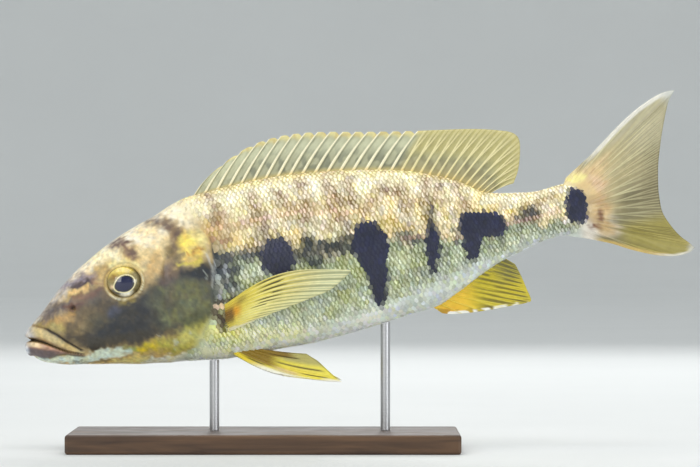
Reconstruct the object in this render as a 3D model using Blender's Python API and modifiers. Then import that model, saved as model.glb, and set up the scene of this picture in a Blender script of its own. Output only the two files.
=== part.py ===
"""A giant cichlid as a still, life-size display model, nose down on a plain stand with two rods.

The fish is drawn straight first, in a frame of its own: x runs from the tip of the snout to the
tail, y to the fish's right side and z towards its back. Every finished piece is then carried into
its pose by one smooth map, which turns the head a little to one side, sweeps the tail to the other
and tips the whole fish nose down over the stand. The origin is the centre of the stand's underside.
"""
import math

import bmesh
import bpy
import numpy as np
from mathutils import Matrix, Vector

MM = 0.001
GAP = 0.3 * MM

# Pose and place of the fish
NOSE_DOWN = math.radians(14.0)
SNOUT_X = -123.6 * MM
SNOUT_Z = 56.1 * MM
MID_TURN = math.radians(0.6)
HEAD_TURN = math.radians(2.6)
HEAD_TURN_END = 120 * MM
TAIL_SWEEP = math.radians(14.0)
TAIL_SWEEP_START = 145 * MM
TAIL_SWEEP_END = 355 * MM
STRAIGHT_AT = 125 * MM

# Body in side and top view: distance from the snout, top, bottom and half width, in millimetres
BODY_STATIONS = (
    (1.8, 3.2, -8.0, 5.4),
    (6.0, 7.6, -12.0, 8.1),
    (13.5, 13.4, -15.3, 10.8),
    (21.0, 19.8, -17.7, 12.9),
    (39.0, 31.2, -21.9, 16.2),
    (58.5, 40.0, -26.7, 18.9),
    (78.0, 46.0, -30.3, 20.7),
    (101.0, 52.0, -34.2, 21.9),
    (126.0, 52.2, -35.7, 22.0),
    (147.0, 51.2, -37.1, 21.8),
    (166.5, 48.5, -36.7, 20.7),
    (193.5, 43.0, -35.1, 17.6),
    (210.0, 38.4, -34.2, 15.3),
    (224.0, 32.7, -29.3, 12.9),
    (235.0, 27.2, -24.6, 11.1),
    (250.0, 16.7, -19.3, 8.7),
    (261.0, 13.8, -17.0, 7.3),
    (276.0, 11.3, -14.4, 5.8),
    (286.0, 11.7, -15.1, 4.6),
)
SNOUT_FRONT = 1.2 * MM
SNOUT_HEIGHT = -2.4 * MM
STALK_ROUND_START = 286 * MM
STALK_ROUND_REACH = 18 * MM
STALK_END = STALK_ROUND_START + STALK_ROUND_REACH
SECTION_POWER_HEAD = 2.35
SECTION_POWER_TRUNK = 2.1
SECTION_POWER_FADE = 110 * MM
WIDEST_HEIGHT = 0.53
RING_POINTS = 36
HEAD_RINGS = (1.8, 3.5, 6.0, 9.5, 13.5, 18.0, 23.0, 28.5, 34.5, 41.0, 48.0, 55.5, 63.0, 71.0,
              79.0, 87.0, 95.0, 103.0, 112.0)
TRUNK_RINGS = (60.0, 68.0, 76.0, 84.0, 92.0, 100.0, 109.0, 118.0, 128.0, 138.0, 148.0, 158.0, 168.0,
               178.0, 188.0, 198.0, 208.0, 218.0, 228.0, 238.0, 248.0, 258.0)
STALK_RINGS = (254.0, 262.0, 270.0, 278.0, 286.0, 291.0, 295.5, 299.0, 301.5, 303.2)

# Where the body is parted, as points in side view, in millimetres
GILL_LINE = ((54.0, -36.0), (72.5, -28.8), (87.3, -22.2), (96.3, -11.7), (100.8, 2.0),
             (105.3, 15.6), (105.9, 27.0), (103.4, 33.5), (84.0, 58.0))
GILL_STEP = 0.9 * MM
GILL_STEP_FADE = 14 * MM
STALK_LINE_X = 252.5
CLEFT_LINE = ((-8.0, 3.2), (0.0, 0.9), (5.1, -0.6), (9.3, -2.7), (15.3, -6.9), (21.6, -11.1),
              (27.3, -13.5))
JAW_LINE = ((36.0, -15.8), (44.0, -19.5), (50.0, -30.0))
CLEFT_OPEN = 1.9 * MM
CLEFT_CORNER_X = 27.3 * MM
GILL_COVER_FRONT = ((104.0, 32.6), (95.0, 31.2), (87.0, 27.6), (80.6, 22.0), (78.2, 12.9),
                    (76.0, 2.7), (74.2, -7.2), (73.6, -15.0), (75.6, -21.5), (80.5, -26.2))
GILL_COVER_BEHIND = ((92.0, -29.5), (125.0, -29.5), (125.0, 32.6))
GILL_COVER_FLOOR = 8 * MM
BODY_REACH = 60 * MM
GILL_LINE_STEPS = 30
SHARP_ANGLE = math.radians(40)

# Lips, as tubes laid along the mouth
MOUTH_FRONT = 2.7 * MM
MOUTH_ROUNDING = 7 * MM
MOUTH_SPACING = 1.6
LIP_SINK = 0.9 * MM
UPPER_LIP_HEIGHTS = (3.0 * MM, 1.1 * MM)
LOWER_LIP_HEIGHTS = (3.4 * MM, 1.0 * MM)
LIP_DEPTHS = (2.2 * MM, 1.3 * MM)
LIP_STEPS = 26
LIP_SIDES = 10

# Eyes and nostrils
EYE_PLACE = (57.6 * MM, 14.6 * MM, 17.1 * MM)
EYE_RADII = (9.3 * MM, 5.4 * MM, 8.6 * MM)
EYE_FOLD_RADII = (8.3 * MM, 7.7 * MM)
EYE_FOLD_HEIGHT = 1.0 * MM
EYE_FOLD_SEGMENTS = (18, 5)
NOSTRIL_PLACE = (28.6 * MM, 10.6 * MM)
NOSTRIL_RADIUS = 1.2 * MM

# Fins, in millimetres of the fish's own frame
DORSAL_START = 101.4
DORSAL_SPINES = 17
DORSAL_SPINE_PITCH = 6.4
DORSAL_SOFT_RAYS = 14
DORSAL_SOFT_PITCHES = (5.0, 1.62)
DORSAL_SPINE_SHARE = 0.58
DORSAL_BOW = 0.6
DORSAL_EDGE = ((113.0, 60.0), (129.6, 66.3), (143.1, 69.2), (158.4, 69.0), (173.3, 66.9),
               (193.4, 62.4), (218.4, 56.7), (248.7, 50.7), (263.7, 46.2), (269.8, 43.4), (272.2, 39.6),
               (271.4, 33.6), (268.2, 24.5), (264.0, 18.0))
ANAL_START = 207.5
ANAL_SPINES = 3
ANAL_SPINE_PITCH = 4.2
ANAL_SOFT_RAYS = 11
ANAL_SOFT_PITCH = 3.1
ANAL_EDGE = ((209.7, -38.1), (218.6, -40.1), (230.5, -41.7), (244.5, -42.9), (255.6, -43.5),
             (258.2, -42.4), (257.4, -36.5), (256.5, -30.6), (255.2, -24.6), (254.6, -22.6))
CAUDAL_ROOT_SWING = math.radians(80.0)
CAUDAL_UPPER_EDGE = ((292.4, 15.4), (309.3, 24.6), (321.0, 32.7), (332.4, 39.6), (342.9, 43.4),
                     (351.8, 45.2), (357.6, 44.5))
CAUDAL_REAR_EDGE = ((357.6, 44.5), (351.8, 39.9), (347.4, 33.3), (343.5, 25.8), (340.5, 17.7),
                    (337.8, 9.3), (336.3, 0.0), (335.7, -6.9), (335.7, -14.7), (337.8, -21.6),
                    (341.7, -29.1), (345.4, -33.8), (347.8, -37.2))
CAUDAL_LOWER_EDGE = ((347.8, -37.2), (344.2, -39.0), (336.0, -38.8), (326.4, -35.7), (315.0, -30.0),
                     (306.6, -24.9), (300.0, -20.8), (292.4, -18.4))
CAUDAL_PROCURRENT = 4
CAUDAL_PRINCIPAL = 16
PECTORAL_ROOT = ((103.8, -6.6), (104.4, -20.2))
PECTORAL_TIPS = ((165.5, -3.2), (171.3, -5.1), (168.0, -7.4), (159.0, -12.0), (148.0, -13.8),
                 (136.8, -15.4), (125.1, -16.9), (117.0, -18.0))
PECTORAL_RAYS = 14
PECTORAL_BOW = 7.0
FIN_ROWS = {"dorsal": 5, "anal": 4, "caudal": 5, "pectoral": 5, "pelvic": 5}
PECTORAL_SPREAD = math.radians(9.0)
PELVIC_ROOT = ((100.2, 6.5), (112.0, 5.5))
PELVIC_TIPS = ((137.0, -53.4), (153.4, -59.3), (150.0, -56.2), (146.4, -50.7), (143.4, -46.2),
               (139.0, -41.6))
PELVIC_BOW = -4.8
PELVIC_LEAN = math.radians(16.0)
ROOT_SUNK = 2.5 * MM
ROOT_FLARE = 6.0 * MM

# Fin rays as ridges on the membrane: half thicknesses from root to edge
MEMBRANE_HALF = 0.26 * MM
ROOT_FLESH_HALF = 0.9 * MM
ROOT_FLESH_SHARE = 0.2
SPINE_HALVES = (1.0 * MM, 0.42 * MM)
SOFT_RAY_HALVES = (0.85 * MM, 0.34 * MM)
SPINE_FLANK = 0.17
SPINE_LOBE = 0.55
BRANCH_SPREADS = (0.11, 0.24)
BRANCHING_STARTS = 0.35
SPINE_NOTCH = 2.3

# Stand
BASE_SIZE = (200 * MM, 90 * MM, 10 * MM)
BASE_ROUNDING = 1.5 * MM
ROD_RADIUS = 2.5 * MM
ROD_PLACES = {"front": -26 * MM, "rear": 62 * MM}


def monotone_curve(knots):
    """A smooth curve through (x, y) knots that never swings past them."""
    xs, ys = np.array(knots, dtype=float).T
    widths = np.diff(xs)
    rises = np.diff(ys) / widths
    slopes = np.concatenate([rises[:1], np.zeros(len(xs) - 2), rises[-1:]])
    for i in range(1, len(xs) - 1):
        if rises[i - 1] * rises[i] > 0:
            before = widths[i] + 2 * widths[i - 1]
            after = 2 * widths[i] + widths[i - 1]
            slopes[i] = (before + after) / (before / rises[i] + after / rises[i - 1])

    def value(x):
        i = int(np.clip(np.searchsorted(xs, x) - 1, 0, len(xs) - 2))
        t = (x - xs[i]) / widths[i]
        bend = slopes[i] * (1 - t) - slopes[i + 1] * t
        return float(ys[i] * (1 - t) ** 2 * (1 + 2 * t) + ys[i + 1] * t ** 2 * (3 - 2 * t)
                     + widths[i] * t * (1 - t) * bend)

    return value


def smooth_path(knots, steps=10):
    """Points along a smooth path through the knots."""
    points = np.array(knots, dtype=float)
    padded = np.vstack([2 * points[0] - points[1], points, 2 * points[-1] - points[-2]])
    path = []
    for a, b, c, d in zip(padded, padded[1:], padded[2:], padded[3:]):
        for t in np.arange(steps) / steps:
            path.append((2 * b + (c - a) * t + (2 * a - 5 * b + 4 * c - d) * t ** 2
                         + (3 * b - a - 3 * c + d) * t ** 3) / 2)
    path.append(points[-1])
    return np.array(path)


def places_along(path, shares):
    """The places at these shares of a path's length."""
    lengths = np.concatenate([[0.0], np.cumsum(np.linalg.norm(np.diff(path, axis=0), axis=1))])
    wanted = np.array(shares) * lengths[-1]
    return np.stack([np.interp(wanted, lengths, column) for column in path.T], axis=1)


def fade(t):
    """Runs smoothly from 0 to 1 as t does."""
    t = min(1.0, max(0.0, t))
    return t * t * (3 - 2 * t)


top_of_body = monotone_curve([(s[0] * MM, s[1] * MM) for s in BODY_STATIONS])
bottom_of_body = monotone_curve([(s[0] * MM, s[2] * MM) for s in BODY_STATIONS])
half_width_of_body = monotone_curve([(s[0] * MM, s[3] * MM) for s in BODY_STATIONS])
gill_x = monotone_curve([(z * MM, x * MM) for x, z in GILL_LINE])
cleft_z = monotone_curve([(x * MM, z * MM) for x, z in CLEFT_LINE])


def section(x):
    """Top, bottom and half width of the body at x; the tail stalk ends in a round."""
    x_in = min(x, STALK_ROUND_START)
    top, bottom, half = top_of_body(x_in), bottom_of_body(x_in), half_width_of_body(x_in)
    reach = min(1.0, (x - x_in) / STALK_ROUND_REACH)
    shrink = math.sqrt(1 - reach * reach)
    middle, height = (top + bottom) / 2, (top - bottom) / 2
    return middle + height * shrink, middle - height * shrink, half * shrink


def section_power(x):
    return SECTION_POWER_HEAD + (SECTION_POWER_TRUNK - SECTION_POWER_HEAD) * fade(x / SECTION_POWER_FADE)


def side_width(x, z):
    """How far the body's side stands from its middle at x and height z."""
    top, bottom, half = section(x)
    middle = bottom + (top - bottom) * WIDEST_HEIGHT
    height = top - middle if z > middle else middle - bottom
    power = section_power(x)
    return half * max(0.0, 1 - (abs(z - middle) / height) ** power) ** (1 / power)


def body_point(x, angle, inset=0.0):
    top, bottom, half = section(x)
    middle = bottom + (top - bottom) * WIDEST_HEIGHT
    power = 2 / section_power(x)
    across, up = math.cos(angle), math.sin(angle)
    height = top - middle if up > 0 else middle - bottom
    y = max(half - inset, 0.0) * math.copysign(abs(across) ** power, across)
    z = middle + max(height - inset, 0.0) * math.copysign(abs(up) ** power, up)
    return Vector((x, y, z))


def gill_inset(point):
    """The trunk starts a step below the gill cover and rises to the full body behind it."""
    behind = point.x - gill_x(point.z)
    return GILL_STEP * (1 - fade(behind / GILL_STEP_FADE))


def sideways(x):
    """Sideways place and slope of the fish's middle line at x."""
    head = max(0.0, HEAD_TURN_END - x)
    tail = max(0.0, x - TAIL_SWEEP_START)
    tail_run = TAIL_SWEEP_END - TAIL_SWEEP_START
    place = (MID_TURN * (x - STRAIGHT_AT) - HEAD_TURN * head ** 3 / (3 * HEAD_TURN_END ** 2)
             + TAIL_SWEEP * tail ** 3 / (3 * tail_run ** 2))
    slope = MID_TURN + HEAD_TURN * (head / HEAD_TURN_END) ** 2 + TAIL_SWEEP * (tail / tail_run) ** 2
    return place, slope


def posed(point):
    """Carries a point of the straight fish to its place over the stand."""
    place, slope = sideways(point.x)
    length = math.hypot(1, slope)
    x = point.x - point.y * slope / length
    y = place + point.y / length
    cos, sin = math.cos(NOSE_DOWN), math.sin(NOSE_DOWN)
    return Vector((SNOUT_X + x * cos - point.z * sin, y, SNOUT_Z + x * sin + point.z * cos))


def make_material(name, colour, roughness, metallic=0.0):
    material = bpy.data.materials.new(name)
    material.use_nodes = True
    shader = material.node_tree.nodes["Principled BSDF"]
    shader.inputs["Base Color"].default_value = (*colour, 1.0)
    shader.inputs["Roughness"].default_value = roughness
    shader.inputs["Metallic"].default_value = metallic
    return material


def add_object(name, mesh, collection):
    thing = bpy.data.objects.new(name, mesh)
    collection.objects.link(thing)
    return thing


def add_cutter(name, mesh):
    cutter = add_object(name, mesh, cutters)
    cutter.hide_render = True
    cutter.display_type = "WIRE"
    return cutter


def mesh_of(name, points, faces):
    """A closed mesh from points and faces, with its faces turned outwards."""
    mesh = bpy.data.meshes.new(name)
    mesh.from_pydata([tuple(p) for p in points], [], faces)
    shape = bmesh.new()
    shape.from_mesh(mesh)
    bmesh.ops.recalc_face_normals(shape, faces=shape.faces)
    shape.to_mesh(mesh)
    shape.free()
    return mesh


def body_mesh(name, rings, nose=None, tip=None, grow=0.0, inset=None):
    """A length of the body through the given rings; nose and tip close it to a point."""
    points = []
    for x in rings:
        for k in range(RING_POINTS):
            angle = 2 * math.pi * k / RING_POINTS
            point = body_point(x * MM, angle, -grow)
            if inset:
                point = body_point(x * MM, angle, inset(point) - grow)
            points.append(point)
    n = RING_POINTS
    faces = []
    for r in range(len(rings) - 1):
        for k in range(n):
            k2 = (k + 1) % n
            faces.append((r * n + k, r * n + k2, (r + 1) * n + k2, (r + 1) * n + k))
    first, last = list(range(n)), list(range((len(rings) - 1) * n, len(rings) * n))
    for ring, end in ((first, nose), (last, tip)):
        if end is None:
            faces.append(tuple(ring))
            continue
        points.append(Vector(end))
        centre = len(points) - 1
        faces += [(ring[k], ring[(k + 1) % n], centre) for k in range(n)]
    return mesh_of(name, points, faces)


def prism_mesh(name, outline, y_from, y_to):
    """A flat outline in side view, swept across the fish."""
    count = len(outline)
    points = [Vector((x, y, z)) for y in (y_from, y_to) for x, z in outline]
    faces = [tuple(range(count)), tuple(range(count, 2 * count))]
    faces += [(k, (k + 1) % count, count + (k + 1) % count, count + k) for k in range(count)]
    return mesh_of(name, points, faces)


def offset_line(points, distances):
    """Moves each point of a side view line square to the line, to the left of its run."""
    points = np.array(points, dtype=float)
    runs = np.gradient(points, axis=0)
    runs /= np.linalg.norm(runs, axis=1)[:, None]
    lefts = np.stack([-runs[:, 1], runs[:, 0]], axis=1)
    return points + lefts * np.array(distances)[:, None]


def cut(target, cutter, operation="DIFFERENCE", solver="EXACT"):
    """Applies one Boolean to the target and removes the cutter."""
    modifier = target.modifiers.new("cut", "BOOLEAN")
    modifier.operation = operation
    modifier.object = cutter
    modifier.solver = solver
    graph = bpy.context.evaluated_depsgraph_get()
    result = bpy.data.meshes.new_from_object(target.evaluated_get(graph))
    target.modifiers.clear()
    target.data = result
    bpy.data.objects.remove(cutter)


def keep_largest(mesh):
    """Keeps only the closed surface with the most faces, split into triangles."""
    shape = bmesh.new()
    shape.from_mesh(mesh)
    bmesh.ops.triangulate(shape, faces=shape.faces)
    left = set(shape.faces)
    best = []
    while left:
        island, edge_of_search = set(), [left.pop()]
        while edge_of_search:
            face = edge_of_search.pop()
            island.add(face)
            for edge in face.edges:
                for other in edge.link_faces:
                    if other in left:
                        left.remove(other)
                        edge_of_search.append(other)
        if len(island) > len(best):
            best = island
    bmesh.ops.delete(shape, geom=[f for f in shape.faces if f not in best], context="FACES")
    shape.to_mesh(mesh)
    shape.free()


def finish_piece(thing, material, carry=True):
    """Keeps one closed body, carries it into the pose and gives it its material."""
    keep_largest(thing.data)
    if carry:
        for vertex in thing.data.vertices:
            vertex.co = posed(vertex.co)
    thing.data.materials.clear()
    thing.data.materials.append(material)
    thing.data.shade_smooth()
    thing.data.set_sharp_from_angle(angle=SHARP_ANGLE)


def gill_region(shift, side):
    """The side view outline ahead of (-1) or behind (+1) the gill opening."""
    low, high = GILL_LINE[0][1] * MM, GILL_LINE[-1][1] * MM
    heights = np.linspace(low, high, GILL_LINE_STEPS)
    line = [(gill_x(z), z) for z in heights]
    line = offset_line(line, np.full(len(line), -side * shift))
    far = -BODY_REACH if side < 0 else 6 * BODY_REACH
    return [tuple(p) for p in line] + [(far, high), (far, low)]


def jaw_region(side):
    """The side view outline of the lower jaw: its own (-1), or that of its bed in the head (+1)."""
    corner = CLEFT_CORNER_X / MM
    xs = np.concatenate([[CLEFT_LINE[0][0]], np.linspace(0.0, corner, 9)])
    line = [(x * MM, cleft_z(x * MM)) for x in xs] + [(x * MM, z * MM) for x, z in JAW_LINE]
    opening = [(CLEFT_OPEN - GAP) * max(0.0, 1 - max(p[0], 0.0) / CLEFT_CORNER_X) for p in line]
    line = offset_line(line, [side * (GAP + o) / 2 for o in opening])
    end_x = line[-1][0]
    return [tuple(p) for p in line] + [(end_x, -BODY_REACH), (line[0][0], -BODY_REACH)]


def lip_mesh(name, side, heights, grow=0.0):
    """A lip: a tapered tube round the mouth, above (+1) or below (-1) the cleft."""
    shares = np.linspace(-1, 1, LIP_STEPS + 1)
    centres, ups, sizes = [], [], []
    for share in shares:
        far = abs(share)
        x = between(MOUTH_FRONT, CLEFT_CORNER_X, far ** MOUTH_SPACING)
        height = between(*heights, far ** 1.5)
        opening = between(CLEFT_OPEN, GAP * 1.3, far)
        slope = (cleft_z(x + MM) - cleft_z(x - MM)) / (2 * MM)
        up = Vector((-slope, 0, 1)).normalized()
        middle = Vector((x, 0, cleft_z(x))) + up * side * (height + opening / 2)
        rounding = 1 - min(1.0, (x - MOUTH_FRONT) / MOUTH_ROUNDING)
        y = (side_width(x, middle.z) - LIP_SINK) * math.sqrt(1 - rounding * rounding)
        centres.append(middle + Vector((0, math.copysign(y, share), 0)))
        ups.append(up)
        sizes.append((height + grow, between(*LIP_DEPTHS, far) + grow))
    runs = np.gradient(np.array(centres), axis=0)
    points = []
    for centre, up, run, (height, depth) in zip(centres, ups, runs, sizes):
        out = Vector(run).cross(up).normalized()
        up = out.cross(Vector(run)).normalized()
        for k in range(LIP_SIDES):
            turn = 2 * math.pi * k / LIP_SIDES
            points.append(centre + out * depth * math.cos(turn) + up * height * math.sin(turn))
    n = LIP_SIDES
    faces = [(s * n + k, s * n + (k + 1) % n, (s + 1) * n + (k + 1) % n, (s + 1) * n + k)
             for s in range(LIP_STEPS) for k in range(n)]
    faces += [tuple(range(n)), tuple(range(LIP_STEPS * n, (LIP_STEPS + 1) * n))]
    return mesh_of(name, points, faces)


def fold_mesh(name, centre, radii, height):
    """A ring of skin round the eye, standing out from the cheek."""
    around, sides = EYE_FOLD_SEGMENTS
    points = []
    for k in range(around):
        turn = 2 * math.pi * k / around
        out = Vector((math.cos(turn), 0, math.sin(turn)))
        middle = centre + Vector((radii[0] * out.x, 0, radii[1] * out.z))
        for s in range(sides):
            roll = 2 * math.pi * s / sides
            lift = out * math.cos(roll) + Vector((0, 1, 0)) * math.sin(roll)
            points.append(middle + lift * height)
    faces = [(k * sides + s, k * sides + (s + 1) % sides,
              (k + 1) % around * sides + (s + 1) % sides, (k + 1) % around * sides + s)
             for k in range(around) for s in range(sides)]
    return mesh_of(name, points, faces)


def ball_mesh(name, centre, radii, segments=20):
    """A ball stretched to three radii."""
    shape = bmesh.new()
    bmesh.ops.create_uvsphere(shape, u_segments=segments, v_segments=segments // 2, radius=1.0)
    stretch = Matrix.Translation(centre) @ Matrix.Diagonal((*radii, 1.0))
    bmesh.ops.transform(shape, matrix=stretch @ Matrix.Rotation(math.pi / 2, 4, "X"), verts=shape.verts)
    mesh = bpy.data.meshes.new(name)
    shape.to_mesh(mesh)
    shape.free()
    return mesh


def vane_mesh(name, columns, half_thicknesses):
    """A thin closed blade from columns of points that run from the root to the edge."""
    grid = np.array([[tuple(p) for p in column] for column in columns])
    along, across = np.gradient(grid, axis=1), np.gradient(grid, axis=0)
    normals = np.cross(along, across)
    normals /= np.linalg.norm(normals, axis=2)[:, :, None]
    offsets = normals * np.array(half_thicknesses)[:, :, None]
    wide, tall = grid.shape[:2]
    points = np.concatenate([(grid + offsets).reshape(-1, 3), (grid - offsets).reshape(-1, 3)])
    back = wide * tall
    faces = []
    for i in range(wide - 1):
        for j in range(tall - 1):
            a, b = i * tall + j, (i + 1) * tall + j
            for shift in (0, back):
                faces += [(a + shift, b + shift, b + 1 + shift), (a + shift, b + 1 + shift, a + 1 + shift)]
    rim = [i * tall for i in range(wide)]
    rim += [(wide - 1) * tall + j for j in range(1, tall)]
    rim += [i * tall + tall - 1 for i in range(wide - 2, -1, -1)]
    rim += [j for j in range(tall - 2, 0, -1)]
    for p, q in zip(rim, rim[1:] + rim[:1]):
        faces += [(p, q, q + back), (p, q + back, p + back)]
    return mesh_of(name, points, faces)


def between(start, end, t):
    return start + (end - start) * t


def ray_columns(kind):
    """The columns of one ray: offset from the ray's own line and half thickness, at share t."""
    def membrane(t):
        return between(ROOT_FLESH_HALF, MEMBRANE_HALF, fade(t / ROOT_FLESH_SHARE))

    def spread(t):
        return between(*BRANCH_SPREADS, fade((t - BRANCHING_STARTS) / (1 - BRANCHING_STARTS)))

    def spine(t):
        return between(*SPINE_HALVES, t)

    def branch(t):
        return between(*SOFT_RAY_HALVES, t)

    def fork(t):
        return between(branch(t), membrane(t), fade((t - BRANCHING_STARTS) / BRANCHING_STARTS))

    if kind == "spine":
        return ((lambda t: -SPINE_FLANK, membrane), (lambda t: 0.0, spine),
                (lambda t: SPINE_FLANK, membrane), (lambda t: SPINE_LOBE, membrane))
    if kind == "branched":
        return ((lambda t: -spread(t), branch), (lambda t: 0.0, fork),
                (lambda t: spread(t), branch), (lambda t: 0.5, membrane))
    return ((lambda t: 0.0, branch), (lambda t: 0.5, membrane))


def ridged_grid(point_at, kinds, rows):
    """Columns of points and half thicknesses over a whole fin, several columns to a ray."""
    columns, halves = [], []
    last = len(kinds) - 1
    for k, kind in enumerate(kinds):
        for offset_at, half_at in ray_columns(kind):
            if not 0 <= k + offset_at(1.0) <= last:
                continue
            shares = np.arange(rows + 1) / rows
            columns.append([point_at(k + offset_at(t), t) for t in shares])
            halves.append([half_at(t) for t in shares])
    return columns, halves


def fin_point(root_at, tip_at, bow_at):
    """A function of ray number and share that lays a fin out flat, its rays bowed a little."""
    def place(ray, t):
        root, tip = np.array(root_at(ray)), np.array(tip_at(ray))
        run = tip - root
        square = np.array([-run[1], run[0]]) / np.linalg.norm(run)
        return root + run * t + square * bow_at(ray) * math.sin(math.pi * t)

    return place


def path_reader(knots, shares):
    """A function of ray number that reads the fin's edge at that ray's share of its length."""
    path = smooth_path(knots)

    def place(ray):
        share = np.interp(ray, np.arange(len(shares)), shares)
        return places_along(path, [share])[0]

    return place


def median_fin(name, place, kinds, rows):
    """A fin in the fish's middle plane."""
    columns, halves = ridged_grid(place, kinds, rows)
    solid = [[(p[0] * MM, 0.0, p[1] * MM) for p in column] for column in columns]
    finish_piece(add_object(name, vane_mesh(name, solid, halves), fish), paints["fin"])


def spine_notch(ray, spines):
    """How far the membrane falls back between spine tips, most just ahead of the next spine."""
    share = ray % 1.0
    if ray >= spines - 1:
        return 0.0
    return SPINE_NOTCH * (share / (1 - SPINE_FLANK)) ** 2


def make_dorsal_fin():
    spine_x = [DORSAL_START + DORSAL_SPINE_PITCH * k for k in range(DORSAL_SPINES)]
    pitches = np.linspace(*DORSAL_SOFT_PITCHES, DORSAL_SOFT_RAYS)
    root_x = spine_x + list(spine_x[-1] + np.cumsum(pitches))
    rays = np.arange(len(root_x))
    shares = [DORSAL_SPINE_SHARE * k / (DORSAL_SPINES - 1) for k in range(DORSAL_SPINES)]
    shares += [between(DORSAL_SPINE_SHARE, 1.0, k / DORSAL_SOFT_RAYS)
               for k in range(1, DORSAL_SOFT_RAYS + 1)]
    edge = path_reader(DORSAL_EDGE, shares)

    def root_at(ray):
        x = float(np.interp(ray, rays, root_x))
        return x, (top_of_body(x * MM) + GAP) / MM

    def tip_at(ray):
        tip, root = edge(ray), np.array(root_at(ray))
        inwards = (root - tip) / np.linalg.norm(root - tip)
        return tip + inwards * spine_notch(ray, DORSAL_SPINES)

    kinds = ["spine"] * DORSAL_SPINES + ["branched"] * DORSAL_SOFT_RAYS
    median_fin("dorsal_fin", fin_point(root_at, tip_at, lambda ray: DORSAL_BOW), kinds, FIN_ROWS["dorsal"])


def make_anal_fin():
    root_x = [ANAL_START + ANAL_SPINE_PITCH * k for k in range(ANAL_SPINES)]
    root_x += [root_x[-1] + ANAL_SOFT_PITCH * k for k in range(1, ANAL_SOFT_RAYS + 1)]
    rays = np.arange(len(root_x))

    def root_at(ray):
        x = float(np.interp(ray, rays, root_x))
        return x, (bottom_of_body(x * MM) - GAP) / MM

    kinds = ["spine"] * ANAL_SPINES + ["branched"] * ANAL_SOFT_RAYS
    edge = path_reader(ANAL_EDGE, np.linspace(0, 1, len(root_x)))
    median_fin("anal_fin", fin_point(root_at, edge, lambda ray: 0.0), kinds, FIN_ROWS["anal"])


def make_caudal_fin():
    """The tail fin grows from the round end of the stalk, a gap away from it."""
    top, bottom, _ = section(STALK_ROUND_START)
    middle, height = (top + bottom) / 2, (top - bottom) / 2 + GAP
    reach = STALK_ROUND_REACH + GAP
    count = CAUDAL_PRINCIPAL + 2 * CAUDAL_PROCURRENT

    def root_at(ray):
        angle = between(CAUDAL_ROOT_SWING, -CAUDAL_ROOT_SWING, ray / (count - 1))
        return ((STALK_ROUND_START + reach * math.cos(angle)) / MM,
                (middle + height * math.sin(angle)) / MM)

    steps = [((k + 1) / (CAUDAL_PROCURRENT + 1)) ** 1.5 for k in range(CAUDAL_PROCURRENT)]
    upper = path_reader(CAUDAL_UPPER_EDGE, steps + [1.0])
    rear = path_reader(CAUDAL_REAR_EDGE, np.linspace(0, 1, CAUDAL_PRINCIPAL))
    lower = path_reader(CAUDAL_LOWER_EDGE, [0.0] + [1 - s for s in reversed(steps)])
    first, last = CAUDAL_PROCURRENT, count - 1 - CAUDAL_PROCURRENT

    def tip_at(ray):
        if ray < first:
            return upper(ray)
        return rear(ray - first) if ray <= last else lower(ray - last)

    kinds = ["single"] * count
    kinds[first:last + 1] = ["branched"] * CAUDAL_PRINCIPAL
    median_fin("caudal_fin", fin_point(root_at, tip_at, lambda ray: 0.0), kinds, FIN_ROWS["caudal"])


def trim_to_trunk(thing):
    """Cuts a paired fin's sunk root back to the trunk's surface, less the gap."""
    bed = body_mesh("trunk_bed", TRUNK_RINGS, grow=GAP, inset=gill_inset)
    cut(thing, add_cutter("trunk_bed", bed))


def make_pectoral_fin(name, side):
    """A fan that leaves the flank at a slant and turns to lie back along it."""
    last = PECTORAL_RAYS - 1
    upper, lower = np.array(PECTORAL_ROOT)
    edge = path_reader(PECTORAL_TIPS, np.linspace(0, 1, PECTORAL_RAYS))

    def root_at(ray):
        return between(upper, lower, ray / last)

    def bow_at(ray):
        return PECTORAL_BOW * (1 - ray / (last + 1)) ** 1.5

    flat = fin_point(root_at, edge, bow_at)

    def place(ray, t):
        root, p = root_at(ray) * MM, flat(ray, t) * MM
        run = math.dist(p, root)
        out = ROOT_FLARE * (1 - math.exp(-run / ROOT_FLARE)) + run * math.tan(PECTORAL_SPREAD)
        return p[0], side * (side_width(*root) + out - ROOT_SUNK), p[1]

    grid, halves = ridged_grid(place, ["single"] * PECTORAL_RAYS, FIN_ROWS["pectoral"])
    thing = add_object(name, vane_mesh(name, grid, halves), fish)
    trim_to_trunk(thing)
    finish_piece(thing, paints["fin"])


def belly_height(x, y):
    """Height of the body's underside at x and a distance y from the middle."""
    top, bottom, half = section(x)
    middle = bottom + (top - bottom) * WIDEST_HEIGHT
    power = section_power(x)
    return middle - (middle - bottom) * (1 - (y / half) ** power) ** (1 / power)


def make_pelvic_fin(name, side):
    """A short fan under the chest that leans outwards as it goes down."""
    last = len(PELVIC_TIPS) - 1
    front, rear = np.array(PELVIC_ROOT)
    tips = np.array(PELVIC_TIPS)

    def line_at(ray):
        return between(front, rear, ray / last)

    def root_at(ray):
        x, y = line_at(ray)
        return x, (belly_height(x * MM, y * MM) + ROOT_SUNK) / MM

    def tip_at(ray):
        before = min(int(ray), last - 1)
        return between(tips[before], tips[before + 1], ray - before)

    flat = fin_point(root_at, tip_at, lambda ray: PELVIC_BOW * (1 - ray / (last + 1)))

    def place(ray, t):
        x, z = flat(ray, t)
        out = line_at(ray)[1] + (root_at(ray)[1] - z) * math.tan(PELVIC_LEAN)
        return x * MM, side * out * MM, z * MM

    grid, halves = ridged_grid(place, ["spine"] + ["branched"] * last, FIN_ROWS["pelvic"])
    thing = add_object(name, vane_mesh(name, grid, halves), fish)
    trim_to_trunk(thing)
    finish_piece(thing, paints["fin"])


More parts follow.
